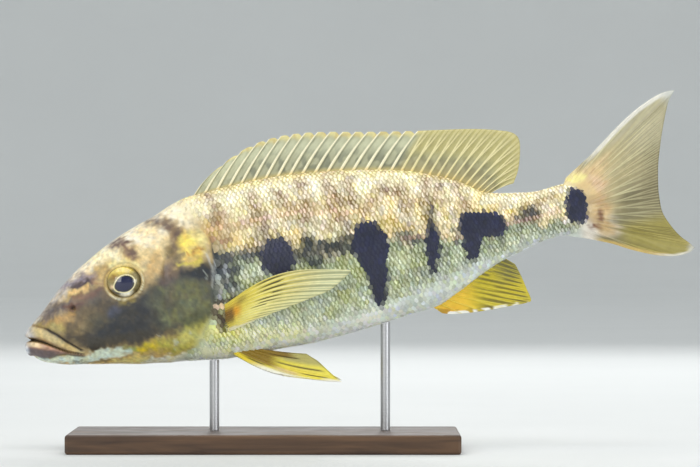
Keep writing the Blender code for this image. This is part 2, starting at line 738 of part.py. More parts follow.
def make_head():
    """The head without its jaw, lips and gill covers, with sockets for the eyes."""
    nose = (SNOUT_FRONT, 0, SNOUT_HEIGHT)
    head = add_object("head", body_mesh("head", HEAD_RINGS, nose=nose), fish)
    for side in (-1, 1):
        x, _, z = EYE_PLACE
        centre = Vector((x, side * side_width(x, z), z))
        fold = fold_mesh("eye_fold", centre, EYE_FOLD_RADII, EYE_FOLD_HEIGHT)
        cut(head, add_cutter("eye_fold", fold), "UNION")
    cut(head, add_cutter("behind_gill", prism_mesh("behind_gill", gill_region(-GAP / 2, 1),
                                                   -BODY_REACH, BODY_REACH)))
    cut(head, add_cutter("jaw_bed", prism_mesh("jaw_bed", jaw_region(1), -BODY_REACH, BODY_REACH)))
    for side in (-1, 1):
        cut(head, gill_cover_block(side, GAP))
        centre = Vector((EYE_PLACE[0], side * EYE_PLACE[1], EYE_PLACE[2]))
        radii = [r + GAP for r in EYE_RADII]
        cut(head, add_cutter("socket", ball_mesh("socket", centre, radii)))
        x, z = NOSTRIL_PLACE
        centre = Vector((x, side * side_width(x, z), z))
        cut(head, add_cutter("nostril", ball_mesh("nostril", centre, [NOSTRIL_RADIUS] * 3, 10)))
    cut(head, add_cutter("lip_bed", lip_mesh("lip_bed", 1, UPPER_LIP_HEIGHTS, GAP)))
    finish_piece(head, paints["head"])


def gill_cover_block(side, grow):
    """A block over one gill cover; grown, it cuts the cover's bed in the head."""
    front = smooth_path(GILL_COVER_FRONT, 3) * MM
    outline = [tuple(p) for p in front] + [(x * MM, z * MM) for x, z in GILL_COVER_BEHIND]
    closed = offset_line(outline[-1:] + outline + outline[:1], np.full(len(outline) + 2, -grow))[1:-1]
    inner, outer = side * (GILL_COVER_FLOOR - grow), side * BODY_REACH
    return add_cutter("gill_cover_block", prism_mesh("gill_cover_block", [tuple(p) for p in closed],
                                                     inner, outer))


def make_gill_cover(name, side):
    cover = add_object(name, body_mesh(name, HEAD_RINGS[5:]), fish)
    cut(cover, add_cutter("behind_gill", prism_mesh("behind_gill", gill_region(-GAP / 2, 1),
                                                    -BODY_REACH, BODY_REACH)))
    cut(cover, gill_cover_block(side, 0.0), "INTERSECT")
    finish_piece(cover, paints["gill_cover"])


def make_lower_jaw():
    nose = (SNOUT_FRONT, 0, SNOUT_HEIGHT)
    jaw = add_object("lower_jaw", body_mesh("lower_jaw", HEAD_RINGS, nose=nose), fish)
    cut(jaw, add_cutter("jaw_block", prism_mesh("jaw_block", jaw_region(-1), -BODY_REACH, BODY_REACH)),
        "INTERSECT")
    cut(jaw, add_cutter("lip_bed", lip_mesh("lip_bed", -1, LOWER_LIP_HEIGHTS, GAP)))
    finish_piece(jaw, paints["jaw"])


def make_lips():
    for name, side, heights in (("upper_lip", 1, UPPER_LIP_HEIGHTS), ("lower_lip", -1, LOWER_LIP_HEIGHTS)):
        finish_piece(add_object(name, lip_mesh(name, side, heights), fish), paints["lip"])


def make_eyes():
    for name, side in (("eye_left", -1), ("eye_right", 1)):
        centre = Vector((EYE_PLACE[0], side * EYE_PLACE[1], EYE_PLACE[2]))
        finish_piece(add_object(name, ball_mesh(name, centre, EYE_RADII), fish), paints["eye"])


def make_trunk():
    trunk = add_object("trunk", body_mesh("trunk", TRUNK_RINGS, inset=gill_inset), fish)
    cut(trunk, add_cutter("ahead_of_gill", prism_mesh("ahead_of_gill", gill_region(-GAP / 2, -1),
                                                      -BODY_REACH, BODY_REACH)))
    end = STALK_LINE_X * MM - GAP / 2
    behind = [(end, -BODY_REACH), (end + BODY_REACH, -BODY_REACH), (end + BODY_REACH, BODY_REACH),
              (end, BODY_REACH)]
    cut(trunk, add_cutter("behind_trunk", prism_mesh("behind_trunk", behind, -BODY_REACH, BODY_REACH)))
    finish_piece(trunk, paints["body"])


def make_tail_stalk():
    top, bottom, _ = section(STALK_END)
    rings = (STALK_LINE_X + GAP / MM / 2, *STALK_RINGS)
    mesh = body_mesh("tail_stalk", rings, tip=(STALK_END, 0, (top + bottom) / 2))
    finish_piece(add_object("tail_stalk", mesh, fish), paints["body"])


def make_stand():
    """A flat base with rounded edges, and two rods whose tops fit the belly."""
    bpy.ops.mesh.primitive_cube_add(size=1, location=(0, 0, BASE_SIZE[2] / 2), scale=BASE_SIZE)
    base = bpy.context.active_object
    bpy.ops.object.transform_apply(location=False, rotation=False, scale=True)
    base.name = "stand_base"
    base.data.materials.append(paints["stand_base"])
    bevel = base.modifiers.new("rounding", "BEVEL")
    bevel.width = BASE_ROUNDING
    bevel.segments = 3
    for collection in base.users_collection:
        collection.objects.unlink(base)
    fish.objects.link(base)
    for label, x in ROD_PLACES.items():
        name = "stand_rod_" + label
        along = (x - SNOUT_X) / math.cos(NOSE_DOWN)
        belly_z = SNOUT_Z + along * math.sin(NOSE_DOWN)
        low, high = BASE_SIZE[2] + GAP, belly_z
        bpy.ops.mesh.primitive_cylinder_add(
            vertices=24, radius=ROD_RADIUS, depth=high - low,
            location=(x, sideways(along)[0], (low + high) / 2))
        rod = bpy.context.active_object
        bpy.ops.object.transform_apply(location=True, rotation=False, scale=False)
        rod.name = name
        for collection in rod.users_collection:
            collection.objects.unlink(rod)
        fish.objects.link(rod)
        mesh = body_mesh("belly", TRUNK_RINGS, grow=GAP)
        for vertex in mesh.vertices:
            vertex.co = posed(vertex.co)
        cut(rod, add_cutter("belly", mesh))
        finish_piece(rod, paints["stand_rod"], carry=False)


for old in list(bpy.data.objects):
    bpy.data.objects.remove(old)
fish = bpy.data.collections.new("giant_cichlid_model")
cutters = bpy.data.collections.new("cutters")
bpy.context.scene.collection.children.link(fish)
bpy.context.scene.collection.children.link(cutters)
paints = {
    "head": make_material("head_skin", (0.30, 0.27, 0.17), 0.45),
    "jaw": make_material("jaw_skin", (0.52, 0.50, 0.36), 0.45),
    "lip": make_material("lip_skin", (0.40, 0.33, 0.22), 0.40),
    "gill_cover": make_material("gill_cover_skin", (0.26, 0.27, 0.20), 0.40),
    "body": make_material("body_skin", (0.62, 0.60, 0.42), 0.40),
    "eye": make_material("eye_gloss", (0.05, 0.07, 0.14), 0.08),
    "fin": make_material("fin_skin", (0.55, 0.52, 0.24), 0.40),
    "stand_base": make_material("base_paint", (0.20, 0.20, 0.21), 0.50),
    "stand_rod": make_material("rod_steel", (0.55, 0.55, 0.56), 0.30, 1.0),
}
make_head()
make_lower_jaw()
make_lips()
make_eyes()
make_gill_cover("gill_cover_left", -1)
make_gill_cover("gill_cover_right", 1)
make_trunk()
make_tail_stalk()
make_dorsal_fin()
make_anal_fin()
make_caudal_fin()
make_pectoral_fin("pectoral_fin_left", -1)
make_pectoral_fin("pectoral_fin_right", 1)
make_pelvic_fin("pelvic_fin_left", -1)
make_pelvic_fin("pelvic_fin_right", 1)
make_stand()
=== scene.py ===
# %% [markdown]
# # A giant cichlid as a museum model
#
# A museum fish is a cast body with painted skin, glass eyes and cast fins, held on rods over a base.
# Its solids are already made, so this lesson only dresses them: it never moves a solid.
# We load them first, and keep their box, because the dressed model has to stay that size.

# %% Load the solids
import math

import bpy
import numpy as np
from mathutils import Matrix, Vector


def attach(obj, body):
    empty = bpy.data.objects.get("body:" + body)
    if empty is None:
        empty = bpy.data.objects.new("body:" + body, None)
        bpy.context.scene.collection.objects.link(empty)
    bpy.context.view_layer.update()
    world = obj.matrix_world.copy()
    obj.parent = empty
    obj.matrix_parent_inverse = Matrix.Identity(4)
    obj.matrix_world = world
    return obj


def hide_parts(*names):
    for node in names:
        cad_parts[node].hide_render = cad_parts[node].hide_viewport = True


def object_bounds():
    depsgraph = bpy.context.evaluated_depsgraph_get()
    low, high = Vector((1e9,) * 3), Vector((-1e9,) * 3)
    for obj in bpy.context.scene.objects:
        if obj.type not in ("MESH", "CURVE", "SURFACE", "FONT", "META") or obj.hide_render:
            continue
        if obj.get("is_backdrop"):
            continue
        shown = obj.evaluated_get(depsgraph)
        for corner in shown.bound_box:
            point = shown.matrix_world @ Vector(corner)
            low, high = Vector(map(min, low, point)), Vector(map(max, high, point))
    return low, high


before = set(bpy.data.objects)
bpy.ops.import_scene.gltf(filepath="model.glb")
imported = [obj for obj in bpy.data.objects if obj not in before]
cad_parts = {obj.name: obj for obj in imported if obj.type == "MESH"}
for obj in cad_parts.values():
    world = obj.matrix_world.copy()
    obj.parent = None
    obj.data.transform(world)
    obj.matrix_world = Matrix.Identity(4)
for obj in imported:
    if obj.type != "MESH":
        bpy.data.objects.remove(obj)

solid_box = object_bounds()
print(len(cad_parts), "solids in a box of",
      [round((high - low) * 1000, 1) for low, high in zip(*solid_box)], "mm")

# %% [markdown]
# ## The camera
#
# The fish was seen level from its left side, through a long lens. A long lens from two metres away
# keeps the far fins nearly as large as the near ones. The lens follows from the width of the view.

# %% Set the camera
VIEW_DISTANCE = 2.0
VIEW_WIDTH = 0.3605
camera_data = bpy.data.cameras.new("camera")
camera_data.sensor_width = 36.0
camera_data.lens = camera_data.sensor_width * VIEW_DISTANCE / VIEW_WIDTH
camera = bpy.data.objects.new("camera", camera_data)
camera.location = (0.0438, -VIEW_DISTANCE, 0.1115)
camera.rotation_euler = (math.pi / 2, 0, 0)
bpy.context.scene.collection.objects.link(camera)
bpy.context.scene.camera = camera
bpy.context.scene.view_settings.view_transform = "Standard"
print("lens", round(camera_data.lens, 1), "mm")

# %% [markdown]
# ## Helpers for meshes
#
# Thousands of scales and finely ribbed fins are quickest as arrays of points that go into a mesh in
# one step. A mesh here is points, the corners of its faces in one long row, and each face's size.

# %% Make meshes from arrays
MM = 0.001


def mesh_from_arrays(name, points, corners, sizes):
    """A mesh from points, all face corners in one row and the number of corners of each face."""
    mesh = bpy.data.meshes.new(name)
    mesh.vertices.add(len(points))
    mesh.vertices.foreach_set("co", np.asarray(points, np.float32).ravel())
    mesh.loops.add(len(corners))
    mesh.loops.foreach_set("vertex_index", np.asarray(corners, np.int32))
    starts = np.concatenate([[0], np.cumsum(sizes)[:-1]])
    mesh.polygons.add(len(sizes))
    mesh.polygons.foreach_set("loop_start", starts.astype(np.int32))
    mesh.update(calc_edges=True)
    return mesh


# %% Keep paint and places on a mesh
def set_paint(mesh, colours, alpha=1.0):
    """Keeps one colour a point on the mesh, for its material to read."""
    layer = mesh.color_attributes.new(name="paint", type="FLOAT_COLOR", domain="POINT")
    rgba = np.ones((len(mesh.vertices), 4), np.float32)
    rgba[:, :3] = colours
    rgba[:, 3] = alpha
    layer.data.foreach_set("color", rgba.ravel())


def set_places(mesh, name, places):
    """Keeps one flat place a point on the mesh, as a UV map."""
    corners = np.zeros(len(mesh.loops), np.int32)
    mesh.loops.foreach_get("vertex_index", corners)
    layer = mesh.uv_layers.new(name=name)
    layer.data.foreach_set("uv", np.asarray(places, np.float32)[corners].ravel())


# %% Put a piece in the scene
def add_piece(name, mesh, material, replaced=(), sharp=None):
    """Puts a finished mesh in the scene as a piece of the model."""
    piece = bpy.data.objects.new(name, mesh)
    bpy.context.scene.collection.objects.link(piece)
    mesh.materials.append(material)
    mesh.shade_smooth()
    if sharp:
        mesh.set_sharp_from_angle(angle=math.radians(sharp))
    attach(piece, "root")
    if replaced:
        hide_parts(*replaced)
    mesh.calc_loop_triangles()
    print(name, len(mesh.loop_triangles), "triangles")
    return piece


# %% [markdown]
# ## The straight fish and its pose
#
# The body is drawn straight, in millimetres: x from the snout to the tail, y to the fish's right and
# z to its back. Stations give its top, bottom and half width, and a smooth curve runs through them.
# One map then bends and tips everything over the stand, so skin, scales and fins always agree.

# %% Blend values
def fade(t):
    """Runs smoothly from 0 to 1 as t does."""
    t = np.clip(t, 0.0, 1.0)
    return t * t * (3 - 2 * t)


def between(start, end, t):
    """Start where t is 0, end where t is 1, and a straight blend in between."""
    return start + (end - start) * t


# %% Draw a smooth curve through knots
def monotone_curve(knots):
    """A smooth curve through (x, y) knots that never swings past them."""
    xs, ys = np.array(knots, dtype=float).T
    widths = np.diff(xs)
    rises = np.diff(ys) / widths
    slopes = np.concatenate([rises[:1], np.zeros(len(xs) - 2), rises[-1:]])
    for i in range(1, len(xs) - 1):
        if rises[i - 1] * rises[i] > 0:
            before = widths[i] + 2 * widths[i - 1]
            after = 2 * widths[i] + widths[i - 1]
            slopes[i] = (before + after) / (before / rises[i] + after / rises[i - 1])

    def value(x):
        """The curve at x, held level beyond its ends."""
        x = np.asarray(x, float)
        i = np.clip(np.searchsorted(xs, x) - 1, 0, len(xs) - 2)
        t = (x - xs[i]) / widths[i]
        bend = slopes[i] * (1 - t) - slopes[i + 1] * t
        return (ys[i] * (1 - t) ** 2 * (1 + 2 * t) + ys[i + 1] * t ** 2 * (3 - 2 * t)
                + widths[i] * t * (1 - t) * bend)

    return value


# %% Give the body's sections
BODY_STATIONS = (
    (1.8, 3.2, -8, 5.4), (6, 7.6, -12, 8.1), (13.5, 13.4, -15.3, 10.8),
    (21, 19.8, -17.7, 12.9), (39, 31.2, -21.9, 16.2), (58.5, 40, -26.7, 18.9),
    (78, 46, -30.3, 20.7), (101, 52, -34.2, 21.9), (126, 52.2, -35.7, 22),
    (147, 51.2, -37.1, 21.8), (166.5, 48.5, -36.7, 20.7), (193.5, 43, -35.1, 17.6),
    (210, 38.4, -34.2, 15.3), (224, 32.7, -29.3, 12.9), (235, 27.2, -24.6, 11.1),
    (250, 16.7, -19.3, 8.7), (261, 13.8, -17, 7.3), (276, 11.3, -14.4, 5.8),
    (286, 11.7, -15.1, 4.6),
)
SNOUT = (1.2, -2.4)
ROUND_START, ROUND_REACH = 286.0, 18.0
HEAD_POWER, TRUNK_POWER, POWER_FADE = 2.35, 2.1, 110.0
WIDEST_HEIGHT = 0.53
top_of_body = monotone_curve([(s[0], s[1]) for s in BODY_STATIONS])
bottom_of_body = monotone_curve([(s[0], s[2]) for s in BODY_STATIONS])
half_width_of_body = monotone_curve([(s[0], s[3]) for s in BODY_STATIONS])
print("height at the shoulder", round(float(top_of_body(110) - bottom_of_body(110)), 1), "mm")


def section(x):
    """Top, bottom, half width and widest height of the body at x."""
    x = np.asarray(x, float)
    x_in = np.clip(x, BODY_STATIONS[0][0], ROUND_START)
    top, bottom, half = top_of_body(x_in), bottom_of_body(x_in), half_width_of_body(x_in)
    reach = np.clip((x - ROUND_START) / ROUND_REACH, 0, 1)
    shrink = np.sqrt(1 - reach * reach)
    centre, height = (top + bottom) / 2, (top - bottom) / 2
    top, bottom = centre + height * shrink, centre - height * shrink
    return top, bottom, half * shrink, bottom + (top - bottom) * WIDEST_HEIGHT


def section_power(x):
    """How full the section is at x: 2 would be an ellipse, more is squarer."""
    return between(HEAD_POWER, TRUNK_POWER, fade(np.asarray(x) / POWER_FADE))


def side_width(x, z):
    """How far the side stands from the middle plane at x and height z."""
    top, bottom, half, middle = section(x)
    height = np.where(z > middle, top - middle, middle - bottom)
    power = section_power(x)
    return half * np.maximum(0.0, 1 - (np.abs(z - middle) / height) ** power) ** (1 / power)


# %% Carry points into the pose
NOSE_DOWN = math.radians(14.0)
SNOUT_X, SNOUT_Z = -123.6, 56.1
MID_TURN, STRAIGHT_AT = math.radians(0.6), 125.0
HEAD_TURN, HEAD_TURN_END = math.radians(2.6), 120.0
TAIL_SWEEP, TAIL_SWEEP_START, TAIL_RUN = math.radians(14.0), 145.0, 210.0


def posed(points):
    """Carries points of the straight fish, in millimetres, to their place in metres."""
    points = np.asarray(points, float).reshape(-1, 3)
    x, y, z = points.T
    head = np.maximum(0.0, HEAD_TURN_END - x)
    tail = np.maximum(0.0, x - TAIL_SWEEP_START)
    place = (MID_TURN * (x - STRAIGHT_AT) - HEAD_TURN * head ** 3 / (3 * HEAD_TURN_END ** 2)
             + TAIL_SWEEP * tail ** 3 / (3 * TAIL_RUN ** 2))
    slope = (MID_TURN + HEAD_TURN * (head / HEAD_TURN_END) ** 2
             + TAIL_SWEEP * (tail / TAIL_RUN) ** 2)
    length = np.hypot(1, slope)
    x, y = x - y * slope / length, place + y / length
    cos, sin = math.cos(NOSE_DOWN), math.sin(NOSE_DOWN)
    return np.stack([SNOUT_X + x * cos - z * sin, y, SNOUT_Z + x * sin + z * cos], axis=1) * MM


print("the snout stands at", [round(v * 1000, 1) for v in posed([(0, 0, 0)])[0]], "mm")

# %% [markdown]
# ## Uneven patterns without pictures
#
# A living skin is never even. Value noise gives that without an image: random numbers on a coarse
# lattice, blended smoothly in between. Its seed is fixed, so the model is the same at every run.

# %% Make value noise
LATTICE = 32
lattice = np.random.default_rng(11).random((LATTICE, LATTICE, LATTICE))


def cloud(x, y, z, size):
    """Smooth noise from 0 to 1 whose lumps are about size millimetres across."""
    places = np.stack([np.broadcast_to(v, np.shape(x)) for v in (x, y, z)]) / size + 97.0
    cell = np.floor(places).astype(int)
    t = places - cell
    t = t * t * (3 - 2 * t)
    total = 0.0
    for i in (0, 1):
        for j in (0, 1):
            for k in (0, 1):
                weight = (t[0] if i else 1 - t[0]) * (t[1] if j else 1 - t[1])
                weight = weight * (t[2] if k else 1 - t[2])
                corner = lattice[(cell[0] + i) % LATTICE, (cell[1] + j) % LATTICE,
                                 (cell[2] + k) % LATTICE]
                total = total + weight * corner
    return total


# %% [markdown]
# ## The relief of the head
#
# The head's forms are too fine for the plain sections: lips round a parted mouth, a fold behind the
# upper lip, an eye rim, nostrils, the edge of the cheek and the step of the gill cover. Each is a
# height above or below the plain surface, given by its distance from a line in side view. A fine
# grid can then simply be pushed in and out, which keeps it one skin with no seams.

# %% Draw the lines of the head
CLEFT_LINE = ((-8, 3.2), (0, 0.9), (5.1, -0.6), (9.3, -2.7), (15.3, -6.9), (21.6, -11.1),
              (27.3, -13.5), (32, -15))
GILL_LINE = ((54, -36), (72.5, -28.8), (87.3, -22.2), (96.3, -11.7), (100.8, 2),
             (105.3, 15.6), (105.9, 27), (103.4, 33.5), (84, 58))
CHEEK_LINE = ((104, 32.6), (95, 31.2), (87, 27.6), (80.6, 22), (78.2, 12.9), (76, 2.7),
              (74.2, -7.2), (73.6, -15), (75.6, -21.5), (80.5, -26.2))
EYE_PLACE = (57.6, 14.6, 17.1)
EYE_RADII = (9.3, 5.4, 8.6)
EYE_OPENING = (8.9, 7.9)
NOSTRIL_PLACE = (28.6, 10.6)
MOUTH_CORNER = 27.3

cleft_z = monotone_curve(CLEFT_LINE)
gill_x = monotone_curve([(z, x) for x, z in GILL_LINE])


# %% Measure distances in side view
def behind_gill(x, z):
    """How far a place lies behind the gill opening."""
    return x - gill_x(np.clip(z, -36, 58))


def line_distance(x, z, line):
    """Distance in side view from a line of straight runs."""
    best = np.full(np.shape(x), 1e9)
    for (x0, z0), (x1, z1) in zip(line, line[1:]):
        run, rise = x1 - x0, z1 - z0
        t = np.clip(((x - x0) * run + (z - z0) * rise) / (run * run + rise * rise), 0, 1)
        best = np.minimum(best, np.hypot(x - x0 - run * t, z - z0 - rise * t))
    return best


# %% Draw a smooth path
def smooth_path(knots, steps=10):
    """Points along a smooth path through the knots."""
    points = np.array(knots, dtype=float)
    padded = np.vstack([2 * points[0] - points[1], points, 2 * points[-1] - points[-2]])
    path = []
    for a, b, c, d in zip(padded, padded[1:], padded[2:], padded[3:]):
        for t in np.arange(steps) / steps:
            path.append((2 * b + (c - a) * t + (2 * a - 5 * b + 4 * c - d) * t ** 2
                         + (3 * b - a - 3 * c + d) * t ** 3) / 2)
    path.append(points[-1])
    return np.array(path)


cheek_line = smooth_path(CHEEK_LINE, 4)


def bump(distance, width, sharpness=2):
    """1 at distance 0, falling smoothly to nothing beyond the width."""
    return np.exp(-np.abs(distance / width) ** sharpness)


def on_sides(y):
    """0 near the middle plane and 1 out on the sides, which keeps side details off the brow."""
    return fade((np.abs(y) - 4) / 4)


# %% Shape the lips, the eye's rim and the nostrils
def mouth_measures(x, z):
    """Distance above the mouth line, share of the way to its corner, gape and lip heights."""
    slope = cleft_z(x + 0.5) - cleft_z(x - 0.5)
    above = (z - cleft_z(x)) / np.sqrt(1 + slope * slope)
    far = np.clip((x - 0.5) / (MOUTH_CORNER - 0.5), 0, 1) ** 0.625
    gape = between(1.15, 0.2, far)
    upper = between(2.9, 0.7, far ** 6)
    lower = 0.35 + 3.25 * (1 - fade((x - 6) / 15))
    return above, far, gape, upper, lower


def lip_relief(x, z):
    """Two swollen lips, the slit between them and the fold along their outer edges."""
    above, far, gape, upper, lower = mouth_measures(x, z)
    ends = 1 - fade((x - MOUTH_CORNER) / 2.5)
    half = np.where(above > 0, upper, lower)
    place = (np.abs(above) - gape - half) / half
    front = np.where(above > 0, 0.9, 1.95)
    swell = between(front, 0.55, far) * np.sqrt(np.clip(1 - place * place, 0, 1))
    slit = between(3.4, 0.7, far) * bump(above, np.maximum(gape, 0.5), 3)
    fold = np.where(above > 0, between(0.15, 0.75, fade((x - 5) / 9)), 0.3)
    crease = fold * bump(np.abs(above) - gape - 2 * half - 0.35, 0.5)
    return (swell - slit - crease) * ends


def eye_measure(x, z):
    """Distance from the eye's middle in side view, where 1 is the edge of its opening."""
    return np.hypot((x - EYE_PLACE[0]) / EYE_OPENING[0], (z - EYE_PLACE[2]) / EYE_OPENING[1])


def eye_relief(x, z):
    """A low rim with a groove round it, and the socket behind the glass eye."""
    out = eye_measure(x, z)
    rim = 0.36 * bump(out - 1.08, 0.055) - 0.22 * bump(out - 1.22, 0.07)
    return rim - 4.5 * fade((1.0 - out) / 0.11)


def nostril_relief(x, z):
    """A pit with a raised ring."""
    out = np.hypot(x - NOSTRIL_PLACE[0], z - NOSTRIL_PLACE[1])
    return 0.3 * bump(out - 1.7, 0.5) - 1.4 * bump(out, 1.1)


# %% Add up the relief
COAT_DEPTH = 0.28
GILL_STEP = 0.9
SKIN_MARGIN = 0.08


def gill_window(z):
    """1 where the gill opening is free, fading out over the nape and under the throat."""
    return fade((z + 24) / 10) * (1 - fade((z - 24) / 9))


def relief(x, y, z):
    """Height of the skin over the plain body, in millimetres."""
    behind = behind_gill(x, z)
    window = gill_window(z)
    step = -GILL_STEP * fade(behind / 0.9) * (1 - fade(behind / 14)) * window
    flap = 0.2 * bump(behind + 1.2, 1.4) * window
    cheek_edge = -0.35 * bump(line_distance(x, z, cheek_line), 0.8)
    cheek_edge = cheek_edge * (behind < 0)
    lumps = 0.5 * (cloud(x, y, z, 9.0) - 0.5) * (1 - fade((x - 95) / 20))
    sides = on_sides(y)
    head = eye_relief(x, z) * sides + nostril_relief(x, z) * sides + cheek_edge + lumps + flap
    coat = COAT_DEPTH * fade(behind / between(3.0, 20.0, fade((z - 28) / 12)) + 0.5)
    coat = coat * (1 - 0.9 * fade((x - 292) / 6))
    return lip_relief(x, z) + head + step - coat - SKIN_MARGIN


# %% [markdown]
# ## The markings
#
# The fish is cream and straw yellow above, grey-green below and white on the belly, with blue-black
# blotches along the middle and a dark, cloudy face. Skin and scales must show the same marks, so one
# function answers for every place. Each mark is a few tapered brush strokes in side view, whose
# edges are shaken by noise, and it is painted over the ground colour in turn.

# %% Mix colours and strokes
def tone(red, green, blue):
    """A paint from screen values of 0 to 255, as the light it returns."""
    value = np.array([red, green, blue]) / 255
    return np.where(value <= 0.04045, value / 12.92, ((value + 0.055) / 1.055) ** 2.4)


def over(ground, paint, mask):
    """Paint laid over the ground where the mask is 1, thinner where it is less."""
    return ground + (paint - ground) * np.clip(mask, 0, 1)[..., None]


def even(colour, like):
    """One colour at every place."""
    return np.broadcast_to(tone(*colour), (*np.shape(like), 3))


def layered(paint, *layers):
    """Lays paints over a ground in turn: each is its screen values and the mask that it covers."""
    for colour, mask in layers:
        paint = over(paint, tone(*colour), mask)
    return paint


def stroke_distance(x, z, strokes):
    """Distance outside tapered brush strokes, each a chain of (x, z, radius)."""
    best = np.full(np.shape(x), 1e9)
    for chain in strokes:
        for (x0, z0, r0), (x1, z1, r1) in zip(chain, chain[1:] or chain):
            run, rise = x1 - x0, z1 - z0
            length = max(run * run + rise * rise, 1e-6)
            t = np.clip(((x - x0) * run + (z - z0) * rise) / length, 0, 1)
            away = np.hypot(x - x0 - run * t, z - z0 - rise * t) - between(r0, r1, t)
            best = np.minimum(best, away)
    return best


def add_marks(paint, marks, x, z, speckle):
    """Paints marks in turn: each is screen values, strength, soft edge, speckling and its strokes."""
    for colour, strength, soft, mottle, *strokes in marks:
        away = stroke_distance(x, z, strokes)
        cover = strength * fade(0.5 - away / soft)
        paint = over(paint, tone(*colour), cover * (1 - mottle + 2 * mottle * speckle))
    return paint


# %% [markdown]
# ### The pale brow
#
# Lists of marks follow, from the snout to the tail. Places are millimetres on the straight fish: the
# eye is at 58, the gill opening near 104 and the tail fin starts at 290. The first marks are the pale
# ones of snout, brow and nape, which the darker ones then overlap.

# %% List the marks of the brow
BROW_MARKS = (
    # the snout over the upper lip, with an ochre streak along it
    ((158, 128, 80), 0.95, 5, 0.1, ((11, 4, 3), (25, 5, 4.6), (36, 6.5, 4.6))),
    ((202, 166, 106), 0.65, 3, 0.2, ((18.6, 7.6, 1.2), (32.8, 6.5, 1.6))),
    # brown in front of the eye
    ((124, 94, 66), 0.9, 5, 0.1, ((35, 13, 4.4), (44.5, 14, 3.8))),
    # cream from the snout over the forehead to the nape
    ((248, 236, 208), 0.95, 6, 0.1,
     ((16.7, 15, 1.6), (33, 26.5, 2.6), (56, 38.9, 3.8), (74.6, 45.8, 4.4), (99.9, 52.3, 6),
      (111.7, 54.1, 6)), ((63.5, 41.1, 4.5), (79.4, 34.5, 6))),
    # a painted highlight along the edge of the profile, and grey below its front end
    ((208, 204, 206), 0.9, 3.4, 0, ((8, 9, 1), (17, 17, 1), (33, 29.5, 1.2), (42, 35.5, 1))),
    ((150, 142, 144), 0.6, 5, 0.25, ((7.4, 7.2, 1.3), (16.4, 13.1, 2), (24.8, 19.8, 2.2))),
    # warm cream behind the eye
    ((242, 214, 154), 0.75, 6, 0.2,
     ((68.2, 29.9, 3.6), (79.2, 25.1, 4.4)), ((72, 40, 3), (78, 38, 3)), ((78, 31, 3), (82, 33, 3))),
    # a pale brow
    ((250, 238, 196), 0.9, 6, 0.1, ((43, 33.5, 3), (50, 33.5, 3.6), (57, 31, 3))),
    # ochre at the back of the eye
    ((204, 168, 106), 0.8, 6, 0.3, ((71.1, 16.5, 3.6), (76.7, 23.1, 4.6))),
    # a yellow crescent over the eye
    ((250, 232, 158), 0.9, 3.5, 0.1, ((53.3, 26.6, 2), (60, 27, 2.2), (67.5, 21.5, 1.2))),
)

# %% [markdown]
# ### The dark face
#
# A cloudy olive and blue-black mask runs from the mouth under the eye and over the gill cover, and
# ends in a black spot at the top of the gill opening. It is built from wide soft strokes first and
# smaller, darker ones over them, as a painter would glaze it.

# %% List the marks of the mask
MASK_MARKS = (
    # from the mouth's corner up to the eye
    ((94, 80, 56), 0.9, 10, 0.2,
     ((21, -3.5, 4.2), (27.3, 3.5, 5), (35.6, 9.5, 6), (42, 14.5, 4)), ((28, -6, 4), (40, 2, 5.4))),
    # back over the cheek
    ((84, 78, 58), 0.9, 10, 0.2,
     ((40, -1, 6), (60, -2, 12), (84, 0, 16), (100, 2, 14)), ((31, -8, 3), (60, -9, 8))),
    # darker before the eye and over the mouth's corner
    ((72, 62, 48), 0.93, 6, 0.2,
     ((40, 12.5, 4.2), (46, 8, 5), (55, 6.5, 3.4)), ((23, -4, 2), (31, -7, 3.4))),
    # a lighter patch behind the eye
    ((176, 150, 100), 0.55, 5, 0.3, ((73, 15, 3), (78, 13, 2.6))),
    # the blue-black heart of the mask
    ((44, 46, 50), 0.95, 8, 0.2,
     ((47.7, 1.4, 3.4), (54.7, 0.8, 5.2), (61.9, 1.3, 6.2), (70.1, 4, 5.6), (76.8, 9, 4.4)),
     ((35.6, -7.4, 3), (45.9, -5.5, 6.4), (59.3, -6.1, 7.6), (68, -5, 7.4))),
    # its lower edge
    ((62, 58, 50), 0.95, 5, 0.15,
     ((33.5, -9.3, 2.4), (44.5, -10.9, 3), (54.8, -11.2, 3.4), (64, -11.4, 2.6))),
)

# %% List the marks of the gill cover
GILL_COVER_MARKS = (
    # the dusky cover
    ((80, 82, 68), 0.92, 9, 0.3,
     ((72.3, 4.4, 5), (82.6, 7.2, 6.6), (92.1, 6.9, 6.6), (98.7, 0.2, 6)),
     ((74.6, -4.4, 6), (87.3, -2.7, 7.2), (98.8, -3.9, 6)), ((78, -11, 3), (97, -10, 3.4))),
    # grey-green freckles
    ((120, 126, 92), 0.5, 5, 0.9,
     ((79.5, 7, 3), (89.7, -4.6, 4)), ((84, -8, 3), (97, -9, 4)), ((72, 2, 2), (74, -8, 2))),
    # olive along the bottom, freckles, and a darker olive over them
    ((158, 158, 70), 0.6, 4, 0.9, ((84.6, -13, 2.6), (96, -13, 3))),
    ((130, 130, 72), 0.28, 3, 1.8, ((76, 8, 3), (92, 4, 6)), ((78, -6, 4), (96, -7, 5))),
    ((84, 86, 54), 0.8, 5, 0.5, ((84, -9.5, 3), (97, -10.5, 4.2))),
    # a blue glint below the eye
    ((74, 82, 108), 0.5, 4, 0.1, ((47.6, 3.5, 1.6), (51, 4.6, 1.4))),
    # brown along the edge of the cheek
    ((92, 76, 74), 0.6, 5, 0.4, ((80.5, 18, 2), (79.8, 12, 2.4), (79, 4, 1.6))),
    # the mask's upper edge, which ends in the black ear spot
    ((90, 76, 72), 0.8, 4, 0.2, ((77, 12.5, 1.8), (83, 15.2, 2.6), (88, 15.6, 1.5))),
    ((26, 32, 42), 0.95, 4.5, 0.15, ((88, 14, 1.8), (96, 12.6, 3.6), (104, 10.5, 4.4))),
)

